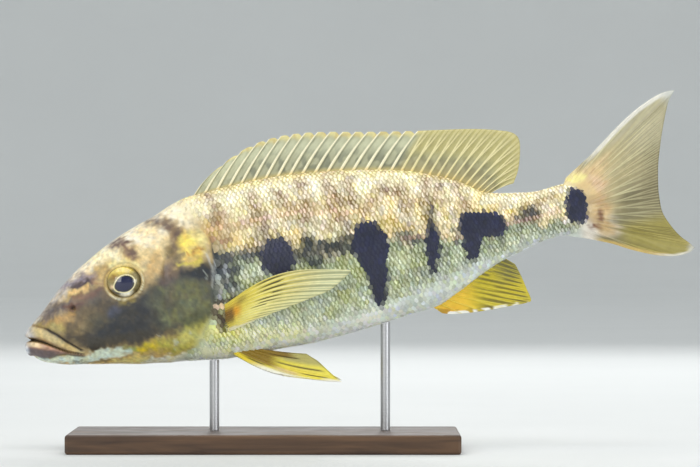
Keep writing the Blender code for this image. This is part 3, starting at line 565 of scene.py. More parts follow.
# %% List the marks behind and over the eye
NAPE_MARKS = (
    # a cream patch on the nape
    ((248, 236, 206), 0.8, 6, 0.2, ((91, 43.5, 3), (97, 40, 3.4))),
    # a brown bow from the nape down behind the eye, filled with olive
    ((106, 84, 70), 0.85, 5, 0.35,
     ((76.5, 43.9, 1.8), (84.3, 41, 2.8), (90, 36.5, 3.2), (89, 30.7, 2.6), (84.9, 23.7, 2.8),
      (80.5, 17.2, 3))),
    ((122, 106, 66), 0.75, 5, 0.3, ((83, 28.5, 2.2), (87.5, 21.5, 3))),
    # yellow at the top of the gill opening, brightest at the shoulder
    ((246, 228, 148), 0.85, 5, 0.2, ((97, 31, 3.6), (101, 29, 4))),
    ((250, 222, 96), 0.9, 4.5, 0.15,
     ((92.4, 29.6, 3.2), (95.8, 29.4, 3.2)), ((92.4, 24.7, 2.4), (99.1, 21.8, 1.8))),
    # an olive line with a rusty fleck above the ear spot
    ((212, 196, 86), 0.9, 2, 0.1, ((87.3, 19.4, 1), (98, 17.8, 1.4))),
    ((172, 112, 44), 0.8, 2, 0.2, ((93.5, 22.9, 1), (99, 23.2, 1.2))),
    # a brown hook over the eye
    ((96, 66, 62), 0.9, 4, 0.3,
     ((55.5, 36.6, 1.4), (60.9, 37.1, 2), (63.5, 33.1, 2.1), (65.2, 28.6, 1.6))),
)

# %% List the marks of the snout
SNOUT_MARKS = (
    # a violet-grey bar before the brow, a dark line in it and its brown end
    ((132, 122, 140), 0.85, 4.5, 0.15, ((26.6, 22.6, 1.8), (36.8, 23.6, 2.8), (42.3, 23.6, 1.6))),
    ((62, 50, 62), 0.9, 2.4, 0.1, ((31.1, 20.7, 1.2), (35, 20.6, 1.7), (41.3, 21.4, 1.2))),
    ((150, 112, 84), 0.7, 2.4, 0.1, ((42, 21.5, 1), (47, 20, 0.8))),
    # ochre and olive over the upper lip
    ((190, 150, 82), 0.65, 4, 0.3, ((19, 5.4, 2.2), (28, 7.2, 2))),
    ((182, 164, 92), 0.75, 4, 0.2, ((9, 5.2, 1), (14, 4.2, 1.8), (20, 1.6, 2.2))),
    # a grey bar from the tip of the snout to the nostril, and a pale fleck at the tip
    ((98, 88, 88), 0.92, 4, 0.2,
     ((11, 7.4, 1.2), (14, 9.4, 2), (18.7, 11.8, 2.8), (25.8, 13.4, 2.5), (29, 14, 1.6))),
    ((204, 202, 184), 0.65, 2.4, 0, ((8.2, 7.6, 0.7), (10.4, 9.4, 0.9))),
    # rusty lines round the nostril and on to the eye
    ((100, 60, 44), 0.9, 3, 0.25,
     ((25.9, 12.3, 1.3), (33, 11.3, 1.7)), ((35.4, 13.3, 1.2), (46.5, 16.9, 0.9))),
    ((128, 88, 70), 0.6, 2, 0.1, ((30.8, 15, 0.9), (40.5, 16.1, 0.8))),
    # a pale line between them and the violet bar
    ((232, 196, 132), 0.8, 2, 0, ((29.1, 18.1, 1), (38.4, 18.9, 1.1))),
)

# %% List the marks of the jaw and throat
THROAT_MARKS = (
    # olive gold along the bottom of the gill cover
    ((184, 178, 80), 0.95, 6, 0.5,
     ((66.5, -18.5, 2.2), (78.3, -18.3, 3.2), (86.4, -18.3, 4.2), (96, -17, 4.6)),
     ((72, -22.5, 2.5), (88.1, -22.6, 4))),
    # a green and a yellow patch on the lower cheek
    ((150, 160, 88), 0.9, 3, 0.3, ((48.5, -16.6, 1.2), (55, -18, 1.6))),
    ((220, 196, 50), 0.95, 4, 0.4, ((57, -17.5, 1.6), (63.8, -19, 2.2))),
    # a thin gold line below the eye
    ((178, 158, 60), 0.7, 4, 0.4, ((60, 7.2, 0.5), (53, 7.6, 0.4))),
    # straw yellow on the gill cover's lower corner
    ((214, 208, 118), 0.75, 6, 0.4, ((81, -18, 3), (88, -18.5, 3.4))),
    # mint white along the lower jaw, and the fold below it
    ((222, 236, 216), 0.97, 2.2, 0.2,
     ((3.9, -9.9, 1), (15.7, -13.5, 1.8), (26.1, -16.4, 2), (31, -16.8, 2), (36.5, -15.4, 2.9),
      (46.1, -17, 1.6), (52, -18.3, 0.8))),
    ((92, 92, 70), 0.8, 1.2, 0.1, ((22, -16.9, 0.2), (34, -18.7, 0.25), (49, -21.6, 0.25))),
    # the throat: gold, then pale yellow, then white, its own colours painted lighter to stand in for light
    # on the shaded underside
    ((250, 216, 126), 0.85, 1.8, 0.2,
     ((18, -17.6, 0.1), (27, -19.8, 0.3), (36, -21.4, 0.9), (47, -23.8, 1.4), (58.5, -26.6, 1.4))),
    ((255, 240, 156), 0.85, 3, 0.1, ((41, -21, 0.9), (48, -22.8, 1.8), (57, -24, 2.6))),
    ((254, 255, 226), 0.95, 3, 0.1, ((58, -25.8, 1.6), (70.4, -27.7, 2.2), (90, -30.4, 2.8))),
    # small pale flecks on cheek and gill cover
    ((214, 220, 204), 0.55, 1.3, 0.2,
     ((68.2, -13.1, 0.5),), ((75.6, -19.5, 0.7), (75.2, -17, 0.4)), ((68.8, -15.9, 0.4),),
     ((74.5, -22.6, 0.6),), ((83.7, -15.6, 0.4),), ((95.1, 14.2, 0.35),),
     ((98.6, 12.6, 0.3), (99.2, 9.4, 0.3))),
    # black in the corner of the mouth
    ((46, 40, 32), 0.9, 2.2, 0, ((30.8, -11.2, 1), (36.3, -11.4, 1.5))),
    # the shadow of the nostril
    ((88, 54, 40), 0.85, 1.8, 0, ((28, 10.8, 0.7), (32.4, 10.4, 0.8))),
)
HEAD_MARKS = BROW_MARKS + MASK_MARKS + GILL_COVER_MARKS + NAPE_MARKS + SNOUT_MARKS + THROAT_MARKS
print(len(HEAD_MARKS), "marks on the head")

# %% [markdown]
# ### The back, the shoulder and the flank
#
# Behind the head the back carries loose rows of brown spots on cream, the shoulder a dark patch, and
# the flank smaller marks that tie the blotches together. Each mark belongs to one place on the fish
# and is listed one by one, because no formula gives so irregular a pattern.

# %% List the marks of the back
BACK_MARKS = (
    # brown spots in loose rows, and softer brown clouds round them
    ((146, 110, 74), 0.76, 7, 0.5,
     ((111.5, 42, 2.8), (111, 34.5, 4.2)), ((108.4, 51.1, 1.2), (110.4, 48, 2)),
     ((107, 28, 3.6), (112, 25.5, 3.4)), ((171, 24.5, 2.2), (174, 19.5, 2.4)),
     ((134, 28, 2.6), (135.6, 33, 2.4)), ((154.4, 23.5, 2.4), (155, 27, 2)),
     ((176, 29, 2.4), (181, 27, 2.4)), ((205.5, 16, 2.4), (205, 19, 2)),
     ((131.5, 42.5, 2.6), (130.9, 35.3, 3.7)), ((144.3, 42, 2.6), (146.1, 35.7, 2.6)),
     ((156.5, 44.1, 2.8), (157, 35.5, 3.3)), ((170, 40.7, 3.6), (172.8, 31.6, 4.3)),
     ((180.5, 39, 2.6), (181.5, 30.8, 2.6)), ((198, 30.5, 3.6), (205.5, 27.8, 4.2)),
     ((218.4, 28.7, 2.8), (217.9, 18.4, 2)), ((222.5, 21, 2.2), (226.2, 25.9, 2.6)),
     ((225.4, 27.5, 2.5), (224.8, 18.4, 2.1)), ((233.7, 23.8, 2.5), (236.6, 13.5, 2.4)),
     ((272.8, 4.7, 1), (280.9, 7.3, 1))),
    ((160, 124, 84), 0.5, 6, 0.45,
     ((150, 33, 3), (166, 27, 4)), ((186, 22, 3), (193, 29, 3)), ((118, 30, 3), (133, 29, 2)),
     ((205, 22, 2), (214, 20, 2)), ((105, 34, 3.4), (108.5, 29, 3.8))),
    # grey-brown clouds low on the back, and a dark fleck over the second blotch
    ((128, 120, 96), 0.55, 7, 0.6,
     ((125.5, 23, 2), (135, 24.2, 2.6)), ((147.5, 24.8, 3), (165.7, 18.9, 3)),
     ((150.7, 18.3, 2.4), (172.8, 14.8, 3)), ((190, 15, 2), (206, 9, 2.4)),
     ((215.5, 13, 2.6), (214.3, 8, 2.8)), ((229, 9, 2), (231, 8, 2))),
    ((92, 86, 80), 0.6, 5, 0.5, ((173.5, 18.3, 2), (179, 17, 2.4))),
    # cream and gold flecks between the spots
    ((252, 245, 224), 0.5, 6, 0.4,
     ((137.3, 30.3, 2.6), (146.4, 23, 2.6), (160.6, 19.5, 3)),
     ((159, 14.2, 1.6), (166.7, 14.8, 2), (173.6, 18.9, 2)), ((160, 24.5, 2.4), (165, 23, 2.2)),
     ((222.4, 12, 1.8), (223, 6, 1.8)), ((197.7, 20.3, 3), (206.8, 12.9, 3.2)),
     ((163.1, 43.3, 2), (164.5, 35.3, 1.5)), ((187, 44, 2), (189.4, 37.4, 2.1)),
     ((228, 14, 2), (228.5, 4, 1.6)), ((256, 7.5, 2), (262, 7, 2)), ((278, 2, 3), (284, 0, 3))),
    ((244, 208, 108), 0.55, 5, 0.4,
     ((142.8, 22.2, 2), (149.2, 20.1, 2.2)), ((199.1, 22.5, 2), (197.1, 14.2, 1.8)),
     ((121.7, 20.5, 2.2), (127.7, 18.9, 1.6)), ((104.8, 32, 2), (110, 31, 1.6)),
     ((242.4, 17, 2), (245, 15.5, 2)), ((256, 4, 1.5), (259, 2, 1.6))),
)

# %% List the marks of the shoulder and chest
SHOULDER_MARKS = (
    # the dark shoulder behind the ear spot, darkest at the gill opening
    ((68, 74, 70), 0.92, 6, 0.4,
     ((105, 18.3, 3.4), (110.7, 17.7, 3.8), (114.5, 15.9, 3)), ((116.3, 16, 2.6), (128.3, 14.2, 2.8)),
     ((100, 8.8, 5), (104.3, 5.1, 4.4)), ((98, -1.8, 3.4), (104.8, 0.8, 3.2)),
     ((108, 9, 3), (110, 1, 2.6))),
    ((52, 58, 60), 0.97, 6, 0.35,
     ((104, 21, 2.6), (107.5, 16, 5.6), (113, 9, 3.8)), ((104, 6, 4), (112, 3, 3.2)),
     ((122, 16.5, 2), (128, 16, 3))),
    ((40, 48, 54), 0.85, 5, 0.3, ((98, 11.6, 3), (104.5, 11, 3)), ((103, 6, 2), (105, 3, 1.6))),
    # pale gaps below it, and painted highlights along the gill opening
    ((208, 214, 196), 0.7, 5, 0.3,
     ((117.7, 5.3, 2), (128, 4.8, 2.6)), ((111.8, -0.6, 1.4), (115.5, 0.5, 1.6))),
    ((206, 212, 212), 0.7, 1.8, 0.5,
     ((104.4, 17.1, 0.4), (105.1, 12.1, 0.5), (105.1, 3, 0.5)), ((109, 12, 0.4), (110, 7, 0.5)),
     ((107.5, 3.5, 0.5),)),
    # the yellow chest, paler towards the belly
    ((244, 242, 156), 0.92, 8, 0.25, ((94, -18, 3), (104, -21.5, 5), (112, -25, 4.4))),
    ((252, 254, 206), 0.9, 8, 0.25, ((114, -25, 4), (138, -29, 3.4))),
    # round the root of the breast fin: grey, brown, dark lines and a flesh-coloured rim
    ((172, 174, 164), 0.6, 4, 0.5, ((105, 6, 1.2), (106, 3, 1.6), (102.5, -2.5, 1.8))),
    ((108, 88, 52), 0.85, 4, 0.35, ((100, -9, 2.4), (102.5, -12.5, 3.4), (101.5, -16.5, 2.4))),
    ((62, 48, 30), 0.9, 1.8, 0.3,
     ((99.5, -4.6, 1.2), (106, -4.2, 1.1), (112, -3, 0.8)),
     ((101.5, -10.5, 1.4), (102.2, -14.5, 1.2))),
    ((236, 204, 164), 0.85, 1.6, 0.2, ((100.5, -7.4, 0.9), (105, -6.8, 1.1))),
)

# %% List the marks of the flank and the tail's base
FLANK_MARKS = (
    # the dark bridge from the first blotch to the second
    ((56, 62, 62), 0.96, 5, 0.25,
     ((152.7, 12.4, 4.4), (153.2, 5.5, 5.4)), ((157, 11.5, 3), (164, 9, 3)),
     ((159.4, 8.4, 3.4), (167.7, 8.4, 3.8), (173.6, 8.4, 4.4)), ((142, 10, 2.6), (149, 9, 2.8))),
    # a grey fleck on the tail stalk, and the link to the third blotch
    ((88, 92, 90), 0.75, 4, 0.4, ((250.4, -6, 2.2), (250, -10.5, 1.2))),
    ((80, 84, 82), 0.85, 4, 0.4,
     ((199, 5.5, 2.6), (204.5, 3.9, 2.8)), ((205.8, 2.4, 2), (212, 1, 2))),
    # pale patches low on the flank
    ((226, 230, 196), 0.6, 8, 0.3,
     ((194, -6, 3), (200, -7, 3)), ((255, -11, 2.2), (266, -9, 1.8))),
    # the top of the third blotch, and the small blotch on the tail stalk
    ((82, 78, 84), 0.82, 3.5, 0.3,
     ((218.6, 15.4, 1.9), (216.4, 8, 3)), ((227.6, 0.5, 0.8), (227.4, -5, 1))),
    ((66, 64, 66), 0.92, 5, 0.3,
     ((265.2, 0.2, 4.2), (269, 0, 4.7)), ((258.7, 0.4, 1.2), (264.1, -0.4, 1.8))),
    # painted highlights on the last blotch
    ((246, 246, 238), 0.8, 1.6, 0, ((287.6, 6.3, 0.6), (285.8, -0.4, 0.6), (285.8, -7.8, 0.5))),
    # brown over the first blotch and grey before the fourth
    ((128, 112, 88), 0.65, 5, 0.4, ((133.6, 25.5, 2.2), (134.6, 20.5, 2.6))),
    ((98, 96, 96), 0.6, 4, 0.3, ((227, 0.5, 2.2), (230, 1.5, 1.8))),
    # a pale spot below it
    ((218, 226, 196), 0.6, 4, 0.3, ((226.4, -9, 2.2), (225, -12.5, 2.6))),
    # cream flecks on the back
    ((252, 236, 190), 0.6, 5, 0.3,
     ((124.2, 25.5, 2.8), (123.4, 22, 2)), ((143.4, 21, 2.4),), ((162, 16.5, 2.6),)),
    ((254, 242, 202), 0.55, 5, 0.3,
     ((164.5, 26, 3),), ((157.3, 38.5, 1.8),), ((194.5, 28.4, 2.2),),
     ((233.3, 18.5, 2.6), (224, 21.6, 1.2))),
    # the pale belly below the gill cover
    ((253, 254, 210), 0.8, 5, 0.1, ((89, -27.4, 2.4), (101, -30, 2.6))),
)
TRUNK_MARKS = BACK_MARKS + SHOULDER_MARKS + FLANK_MARKS
TAIL_MARKS = (
    # the peach-coloured base
    ((226, 196, 140), 0.9, 6, 0.2, ((297, 8, 3), (304, 10, 5), (307, 0, 6.4), (304, -12, 5))),
    # brown clouds and a pink fleck in it
    ((176, 146, 100), 0.7, 6, 0.4,
     ((300, -1, 2.6), (308, -3, 3.4)), ((299, -9, 3), (306, -17, 3))),
    ((232, 200, 168), 0.7, 4, 0.2, ((304.4, 10.6, 2.5), (308.9, 3.9, 3))),
    # the yellow spot at its upper corner
    ((252, 240, 158), 0.95, 3, 0, ((293.6, 12.4, 1.6), (299, 12.6, 1.9))),
    # dark bars at its lower corner
    ((116, 72, 44), 0.9, 2.6, 0.3,
     ((304.3, -7, 1.4), (303.6, -11, 1.3)), ((297, -13.6, 1.2), (302, -15.2, 1.2))),
)
print(len(TRUNK_MARKS), "marks on the trunk and", len(TAIL_MARKS), "on the tail's base")

# %% [markdown]
# ### The blotches and the borders
#
# The blue-black blotches stand in a row along the middle. They are chains of circles too, but they
# come last and have firm edges. Two curves give the height at which the pale back turns into the
# grey-green flank, and the flank into the white belly, and two lines follow the pored scales.

# %% Place the blotches and the borders
BLOTCHES = (
    # the first, behind the shoulder
    ((137.6, 12.4, 8.5), (136.9, 9.3, 8.9), (136, 3.7, 3.8)),
    # the second, with a long arm down the flank
    ((183.8, 8.9, 8.4), (184.1, 5.2, 9.7), (184, -0.6, 7.9), (184.1, -9.9, 5.8), (183.1, -18, 4.4),
     (181.7, -24, 2.8)),
    # the narrow third
    ((216.6, 5.6, 2.5), (215.3, -0.9, 3.9), (213.8, -8, 3.4), (212.2, -14.4, 1.7)),
    # the fourth and its arm
    ((236.8, 3, 6.8), (243.4, 1.1, 7.2), (248.8, -0.4, 6)),
    ((236, -0.7, 5.4), (234.3, -9.4, 4.3), (234, -12.2, 3.3)),
    # the last, at the root of the tail fin
    ((292.9, 2.5, 5.2), (291.9, -4.2, 5.9)),
)
BLOTCH_PAINT = tone(31, 35, 62)
flank_edge = monotone_curve(((84, 18), (113, 16), (147, 9), (172, 5), (199, 3), (224, 0), (250, -3.5),
                             (272, -5), (290, -9), (306, -12)))
belly_edge = monotone_curve(((60, -25), (90, -29), (116, -29), (138, -29), (186, -26), (220, -20.3),
                             (248, -15.7), (270, -12.7), (306, -14)))
LATERAL_LINE = (((104.3, 31.9), (122.8, 32.5), (139.5, 32), (161.2, 28.2), (178.5, 23.9), (184, 22)),
                ((199.8, 3.9), (212, 1.9), (218.9, -0.3), (235.4, -2.4), (256.7, -2.4), (284, -1)))


# %% Answer for the colour of any place
def trunk_ground(x, y, z):
    """Cream back, straw yellow side, grey-green flank and white belly."""
    top, bottom, _, _ = section(x)
    edge = flank_edge(x)
    rise = np.clip((z - edge) / np.maximum(top - edge, 1), 0, 1)
    drop = np.clip((edge - z) / np.maximum(edge - bottom, 1), 0, 1)
    shake = cloud(x, y, z, 7.0) - 0.5
    warm = fade(1 - np.abs(z - edge - 9) / 8) * fade((cloud(x, y, z, 5.0) - 0.42) / 0.2)
    ground = layered(
        even((238, 220, 172), x),
        ((250, 240, 202), fade((rise - 0.5 + 0.5 * shake) / 0.3)),
        ((250, 226, 156), 0.6 * fade((rise - 0.86) / 0.12)),
        ((242, 208, 112), 0.6 * warm))
    low = fade((edge - z + 8 * shake) / 6 + 0.5)
    green = fade((cloud(x, y + 40, z, 6.0) - 0.45) / 0.25) * (1 - fade((x - 200) / 30))
    flank = layered(
        even((176, 186, 152), x),
        ((212, 220, 192), fade((drop - 0.25) / 0.6)),
        ((186, 192, 132), 0.7 * green * (1 - fade((drop - 0.7) / 0.3))))
    ground = over(ground, flank, low)
    white = fade((belly_edge(x) - z + 3 * shake) / 7 + 0.5)
    ground = over(ground, tone(241, 248, 238), white)
    # painted shade on the low flank and belly towards the tail, and the whole stalk a little darker behind
    # x 244
    shade = 1 - 0.2 * fade((x - 178) / 24) * np.maximum(low, white) - 0.1 * fade((x - 244) / 16)
    return ground * shade[..., None]


def shaken(places, x, y, z):
    """Places moved a little by noise, so that no mark has a smooth edge."""
    return places + 2.6 * (cloud(x, y, z, 4.0) - 0.5) + 2.6 * (cloud(x, y, z, 1.6) - 0.5)


def flesh_colour(x, y, z):
    """The paint at any place of the body."""
    mark_x, mark_z = shaken(x, x, y, z), shaken(z, x + 50, y, z)
    speckle = 0.6 * cloud(x, y, z, 1.5) + 0.4 * cloud(x, y + 30, z, 3.2)
    behind = behind_gill(x, z)
    head = add_marks(even((196, 168, 112), x), HEAD_MARKS, mark_x, mark_z, speckle)
    blend = between(1.4, 26.0, fade((z - 28) / 12)) + 10 * fade((-8 - z) / 8)
    paint = over(head, trunk_ground(x, y, z), fade(behind / blend + 0.5))
    body = add_marks(paint, TRUNK_MARKS, mark_x, mark_z, speckle)
    paint = over(paint, body, fade((behind + 1.5) / 1.5))
    paint = layered(
        paint,
        ((224, 200, 152), fade((x - 295) / 4)),
        ((228, 220, 206), fade((x - 289) / 6) * fade((-z - 7) / 4)))
    paint = add_marks(paint, TAIL_MARKS, mark_x, mark_z, speckle)
    away = stroke_distance(x + 0.35 * (mark_x - x), z + 0.35 * (mark_z - z), BLOTCHES)
    return over(paint, BLOTCH_PAINT, 0.99 * fade(0.5 - (away + 0.6) / 2.8))


# %% [markdown]
# ### Lips, eye rim and gill edge
#
# These details lie on the skin alone, not on the scales. The lips are thick and damp: the upper one
# ochre, brown along its lower edge and with a painted highlight in front, the lower one brown, with
# a cream top in front, a painted highlight at its tip and a dark underside. Painted shade fills the
# slit of the mouth and the fold over the upper lip. Height over a lip runs from 0 at the mouth to 1
# at its outer edge, so each colour can be given its own band.

# %% Paint the lips
def lip_paint(paint, x, z):
    """Both lips, with painted highlights in front and painted shade in the slit of the mouth and the fold
    over the upper lip.
    """
    above, _, gape, upper, lower = mouth_measures(x, z)
    ends = 1 - fade((x - MOUTH_CORNER) / 2)
    on_upper = fade((above - gape) / 0.4) * fade((gape + 2 * upper - above) / 0.8 + 0.5) * ends
    on_lower = fade((-above - gape) / 0.4) * fade((gape + 2 * lower + above) / 0.8 + 0.5) * ends
    height_of_upper = np.clip((above - gape) / (2 * upper), 0, 1)
    height_of_lower = np.clip((-above - gape) / (2 * lower), 0, 1)
    inside = bump(above, np.maximum(gape, 0.42) * 1.1) * ends
    under_lip = bump(-above - gape - 2 * lower - 0.2, 0.5) * ends * fade((x - 3) / 4)
    crease = bump(above - gape - 2 * upper - 0.6, between(0.65, 1.05, bump(x - 18, 6))) * ends
    return layered(
        paint,
        # upper lip: ochre, brown along the mouth, with a painted highlight on its front
        ((206, 184, 128), 0.95 * on_upper),
        ((150, 116, 84), 0.8 * on_upper * fade((0.35 - height_of_upper) / 0.3)),
        ((206, 202, 200), 0.9 * on_upper * (1 - fade((x - 2.5) / 5.5))),
        # lower lip: brown, pink along the middle, cream in front with a painted highlight at its tip, dark
        # below
        ((150, 112, 96), 0.95 * on_lower),
        ((210, 156, 122), 0.9 * on_lower * bump(x - 11, 5) * fade((0.5 - height_of_lower) / 0.3)),
        ((244, 222, 182), 0.9 * on_lower * bump(x - 4.6, 4) * fade((0.46 - height_of_lower) / 0.2)),
        ((92, 82, 84), 0.9 * on_lower * fade((height_of_lower - 0.32) / 0.25)
            * (1 - 0.7 * fade((x - 10) / 7))),
        ((182, 152, 116), 0.6 * on_lower * fade((x - 17) / 6)),
        ((222, 222, 222), 0.9 * on_lower * (1 - fade((x - 0.2) / 2.2))
            * (1 - fade((height_of_lower - 0.75) / 0.2))),
        # painted shade in the slit of the mouth, the shadow under the lower lip and painted shade in the
        # fold over the upper one
        ((40, 22, 20), inside),
        ((60, 52, 46), 0.7 * under_lip),
        ((118, 92, 60), 0.6 * crease * fade((x - 4) / 3)),
        ((28, 24, 20), 0.97 * crease * fade((x - 10.5) / 4)))


# %% Paint the eye's rim, the nostrils and the gill edge
def eye_rim_paint(paint, x, y, z):
    """A gold rim with two pale stretches, and painted shade in the groove round it, on the socket's wall
    and in the nostril's pit.
    """
    out = eye_measure(x, z)
    angle = np.degrees(np.arctan2(z - EYE_PLACE[2], x - EYE_PLACE[0]))
    sides = on_sides(y)
    pale = np.maximum(bump(angle + 128, 42), bump(angle + 22, 38))
    nostril = np.hypot(x - NOSTRIL_PLACE[0], z - NOSTRIL_PLACE[1])
    return layered(
        paint,
        # painted shade in the groove round the rim
        ((92, 70, 40), 0.4 * bump(out - 1.22, 0.07) * sides),
        ((206, 172, 84), 0.6 * bump(out - 1.1, 0.08) * sides),
        ((236, 230, 196), 0.95 * pale * bump(out - 1.12, 0.05) * sides),
        # painted shade on the socket's wall inside the opening
        ((128, 112, 72), 0.7 * fade((1.03 - out) / 0.06) * sides),
        # painted shade in the nostril's pit
        ((58, 38, 32), bump(nostril, 1.0) * sides))


def gill_edge_paint(paint, x, y, z):
    """Shadow behind the gill cover, painted highlights on its rim and a faint line along the cheek."""
    behind = behind_gill(x, z)
    window = gill_window(z)
    rim_highlight = stroke_distance(x, z, (((101.5, 24, 0.4), (103.6, 13, 0.6), (100, 1, 0.4)),))
    rim_highlight = fade(0.5 - rim_highlight / 1.6) * (behind < 0.4) * fade((cloud(x, y, z, 2.0) - 0.3) / 0.3)
    cheek = line_distance(x, z, cheek_line)
    return layered(
        paint,
        ((44, 44, 42), 0.55 * bump(behind - 0.6, 0.8) * window * fade((z + 16) / 10)),
        # painted highlights along the gill cover's rim
        ((214, 218, 216), 0.45 * rim_highlight),
        ((64, 56, 50), 0.22 * bump(cheek, 0.8) * (behind < 0)))


def face_details(paint, x, y, z):
    """All that is painted on the skin only."""
    paint = lip_paint(paint, x, z)
    paint = eye_rim_paint(paint, x, y, z)
    return gill_edge_paint(paint, x, y, z)


# %% [markdown]
# ## Finishes shared by several materials
#
# Three small effects come back in every finish of the fish: paint that is never quite even, a sheen
# that is glossier in some places, and a fine grain. Each is a node group, built once with named
# sockets, so a material only gives it values. The shader itself always stays in the material.

# %% Helpers for nodes
def link_in(tree, value, socket):
    """Links a socket's output to an input, or writes a plain value there."""
    if isinstance(value, bpy.types.NodeSocket):
        tree.links.new(value, socket)
    else:
        socket.default_value = value


def add_node(tree, kind, settings=(), **values):
    """Adds a node, with its settings and what goes into its named sockets."""
    node = tree.nodes.new(kind)
    for key, value in dict(settings).items():
        setattr(node, key, value)
    for key, value in values.items():
        link_in(tree, value, node.inputs[key.replace("_", " ")])
    return node


def maths(tree, operation, first, second=0.5):
    """One step of arithmetic on node values."""
    node = tree.nodes.new("ShaderNodeMath")
    node.operation = operation
    link_in(tree, first, node.inputs[0])
    if len(node.inputs) > 1:
        link_in(tree, second, node.inputs[1])
    return node.outputs[0]


def add_noise(tree, lumps, detail):
    """Noise that is fixed to the model, with so many lumps a metre."""
    place = add_node(tree, "ShaderNodeTexCoord")
    return add_node(tree, "ShaderNodeTexNoise", Vector=place.outputs["Object"], Scale=lumps,
                    Detail=detail)


def new_group(name, inputs, output, kind):
    """An empty node group with named inputs and one output."""
    group = bpy.data.node_groups.new(name, "ShaderNodeTree")
    for label, input_kind, value in inputs:
        socket = group.interface.new_socket(name=label, in_out="INPUT", socket_type=input_kind)
        socket.default_value = value
    group.interface.new_socket(name=output, in_out="OUTPUT", socket_type=kind)
    return group, group.nodes.new("NodeGroupInput"), group.nodes.new("NodeGroupOutput")


# %% Build the group for uneven paint
FLOAT, COLOUR, VECTOR = "NodeSocketFloat", "NodeSocketColor", "NodeSocketVector"

uneven_paint, given, result = new_group(
    "uneven_paint", (("Paint", COLOUR, (1, 1, 1, 1)), ("Lumps per metre", FLOAT, 300.0),
                     ("Amount", FLOAT, 0.2)), "Color", COLOUR)
noise = add_noise(uneven_paint, given.outputs["Lumps per metre"], 4.0)
swing = maths(uneven_paint, "SUBTRACT", noise.outputs["Fac"], 0.5)
swing = maths(uneven_paint, "MULTIPLY", swing, given.outputs["Amount"])
value = maths(uneven_paint, "ADD", maths(uneven_paint, "MULTIPLY", swing, 2.0), 1.0)
tint = add_node(uneven_paint, "ShaderNodeHueSaturation", Value=value, Color=given.outputs["Paint"])
link_in(uneven_paint, tint.outputs["Color"], result.inputs["Color"])

# %% Build the group for a patchy sheen
patchy_sheen, given, result = new_group(
    "patchy_sheen", (("Glossy", FLOAT, 0.25), ("Dull", FLOAT, 0.5), ("Lumps per metre", FLOAT, 120.0)),
    "Roughness", FLOAT)
noise = add_noise(patchy_sheen, given.outputs["Lumps per metre"], 3.0)
spread = add_node(patchy_sheen, "ShaderNodeMapRange", Value=noise.outputs["Fac"], From_Min=0.3,
                  From_Max=0.7, To_Min=given.outputs["Glossy"], To_Max=given.outputs["Dull"])
link_in(patchy_sheen, spread.outputs["Result"], result.inputs["Roughness"])

# %% Build the group for a fine grain
fine_grain, given, result = new_group(
    "fine_grain", (("Lumps per metre", FLOAT, 900.0), ("Strength", FLOAT, 0.3),
                   ("Depth", FLOAT, 0.0002)), "Normal", VECTOR)
noise = add_noise(fine_grain, given.outputs["Lumps per metre"], 3.0)
raised = add_node(fine_grain, "ShaderNodeBump", Height=noise.outputs["Fac"],
                  Strength=given.outputs["Strength"], Distance=given.outputs["Depth"])
link_in(fine_grain, raised.outputs["Normal"], result.inputs["Normal"])
print("node groups", [g.name for g in bpy.data.node_groups])


# %% Start a material
def new_material(name):
    """A material with nothing but its shader."""
    material = bpy.data.materials.new(name)
    material.use_nodes = True
    return material, material.node_tree, material.node_tree.nodes["Principled BSDF"]


def use_group(tree, group, **values):
    """Puts a shared group in a material and gives its output."""
    node = tree.nodes.new("ShaderNodeGroup")
    node.node_tree = group
    for key, value in values.items():
        link_in(tree, value, node.inputs[key.replace("_", " ")])
    return node.outputs[0]


def damp_flesh(tree, shader, colour, amount, lumps, gloss, grain, coat, coat_dullness=0.2):
    """Uneven paint, patchy sheen, fine grain and a clear coat, which all flesh here has."""
    colour = use_group(tree, uneven_paint, Paint=colour, Lumps_per_metre=lumps, Amount=amount)
    sheen = use_group(tree, patchy_sheen, Glossy=gloss[0], Dull=gloss[1])
    grained = use_group(tree, fine_grain, Lumps_per_metre=grain[0], Strength=grain[1])
    link_in(tree, colour, shader.inputs["Base Color"])
    link_in(tree, sheen, shader.inputs["Roughness"])
    link_in(tree, grained, shader.inputs["Normal"])
    shader.inputs["Coat Weight"].default_value = coat
    shader.inputs["Coat Roughness"].default_value = coat_dullness


def painted_finish(name, *flesh):
    """A finish for flesh that wears the paint kept on its mesh."""
    material, tree, shader = new_material(name)
    paint = add_node(tree, "ShaderNodeVertexColor", {"layer_name": "paint"})
    damp_flesh(tree, shader, paint.outputs["Color"], *flesh)
    return material


# %% [markdown]
# ## One skin for the whole body
#
# Head, jaw, lips, gill covers, trunk and tail stalk are separate solids, but a fish has one skin.
# It is a grid of rings and turns round the body, with rings closest together at the mouth. Each
# point is pushed along the surface's own normal by the relief, and is painted by its place.

# %% Lay out the skin's grid
TURNS = 240
BAKE_LENGTH = 310.0
snout_turns = np.radians(np.arange(9, 90, 9))
ring_x = np.concatenate([SNOUT[0] + (BODY_STATIONS[0][0] - SNOUT[0]) * (1 - np.cos(snout_turns)),
                         np.arange(1.8, 32, 0.4), np.arange(32, 113, 0.6),
                         np.arange(113, ROUND_START, 1.25),
                         ROUND_START + ROUND_REACH * np.sin(np.radians(np.arange(0, 89, 5)))])
ring_grow = np.ones(len(ring_x))
ring_grow[:len(snout_turns)] = np.sin(snout_turns)
turn = 2 * np.pi * np.arange(TURNS) / TURNS

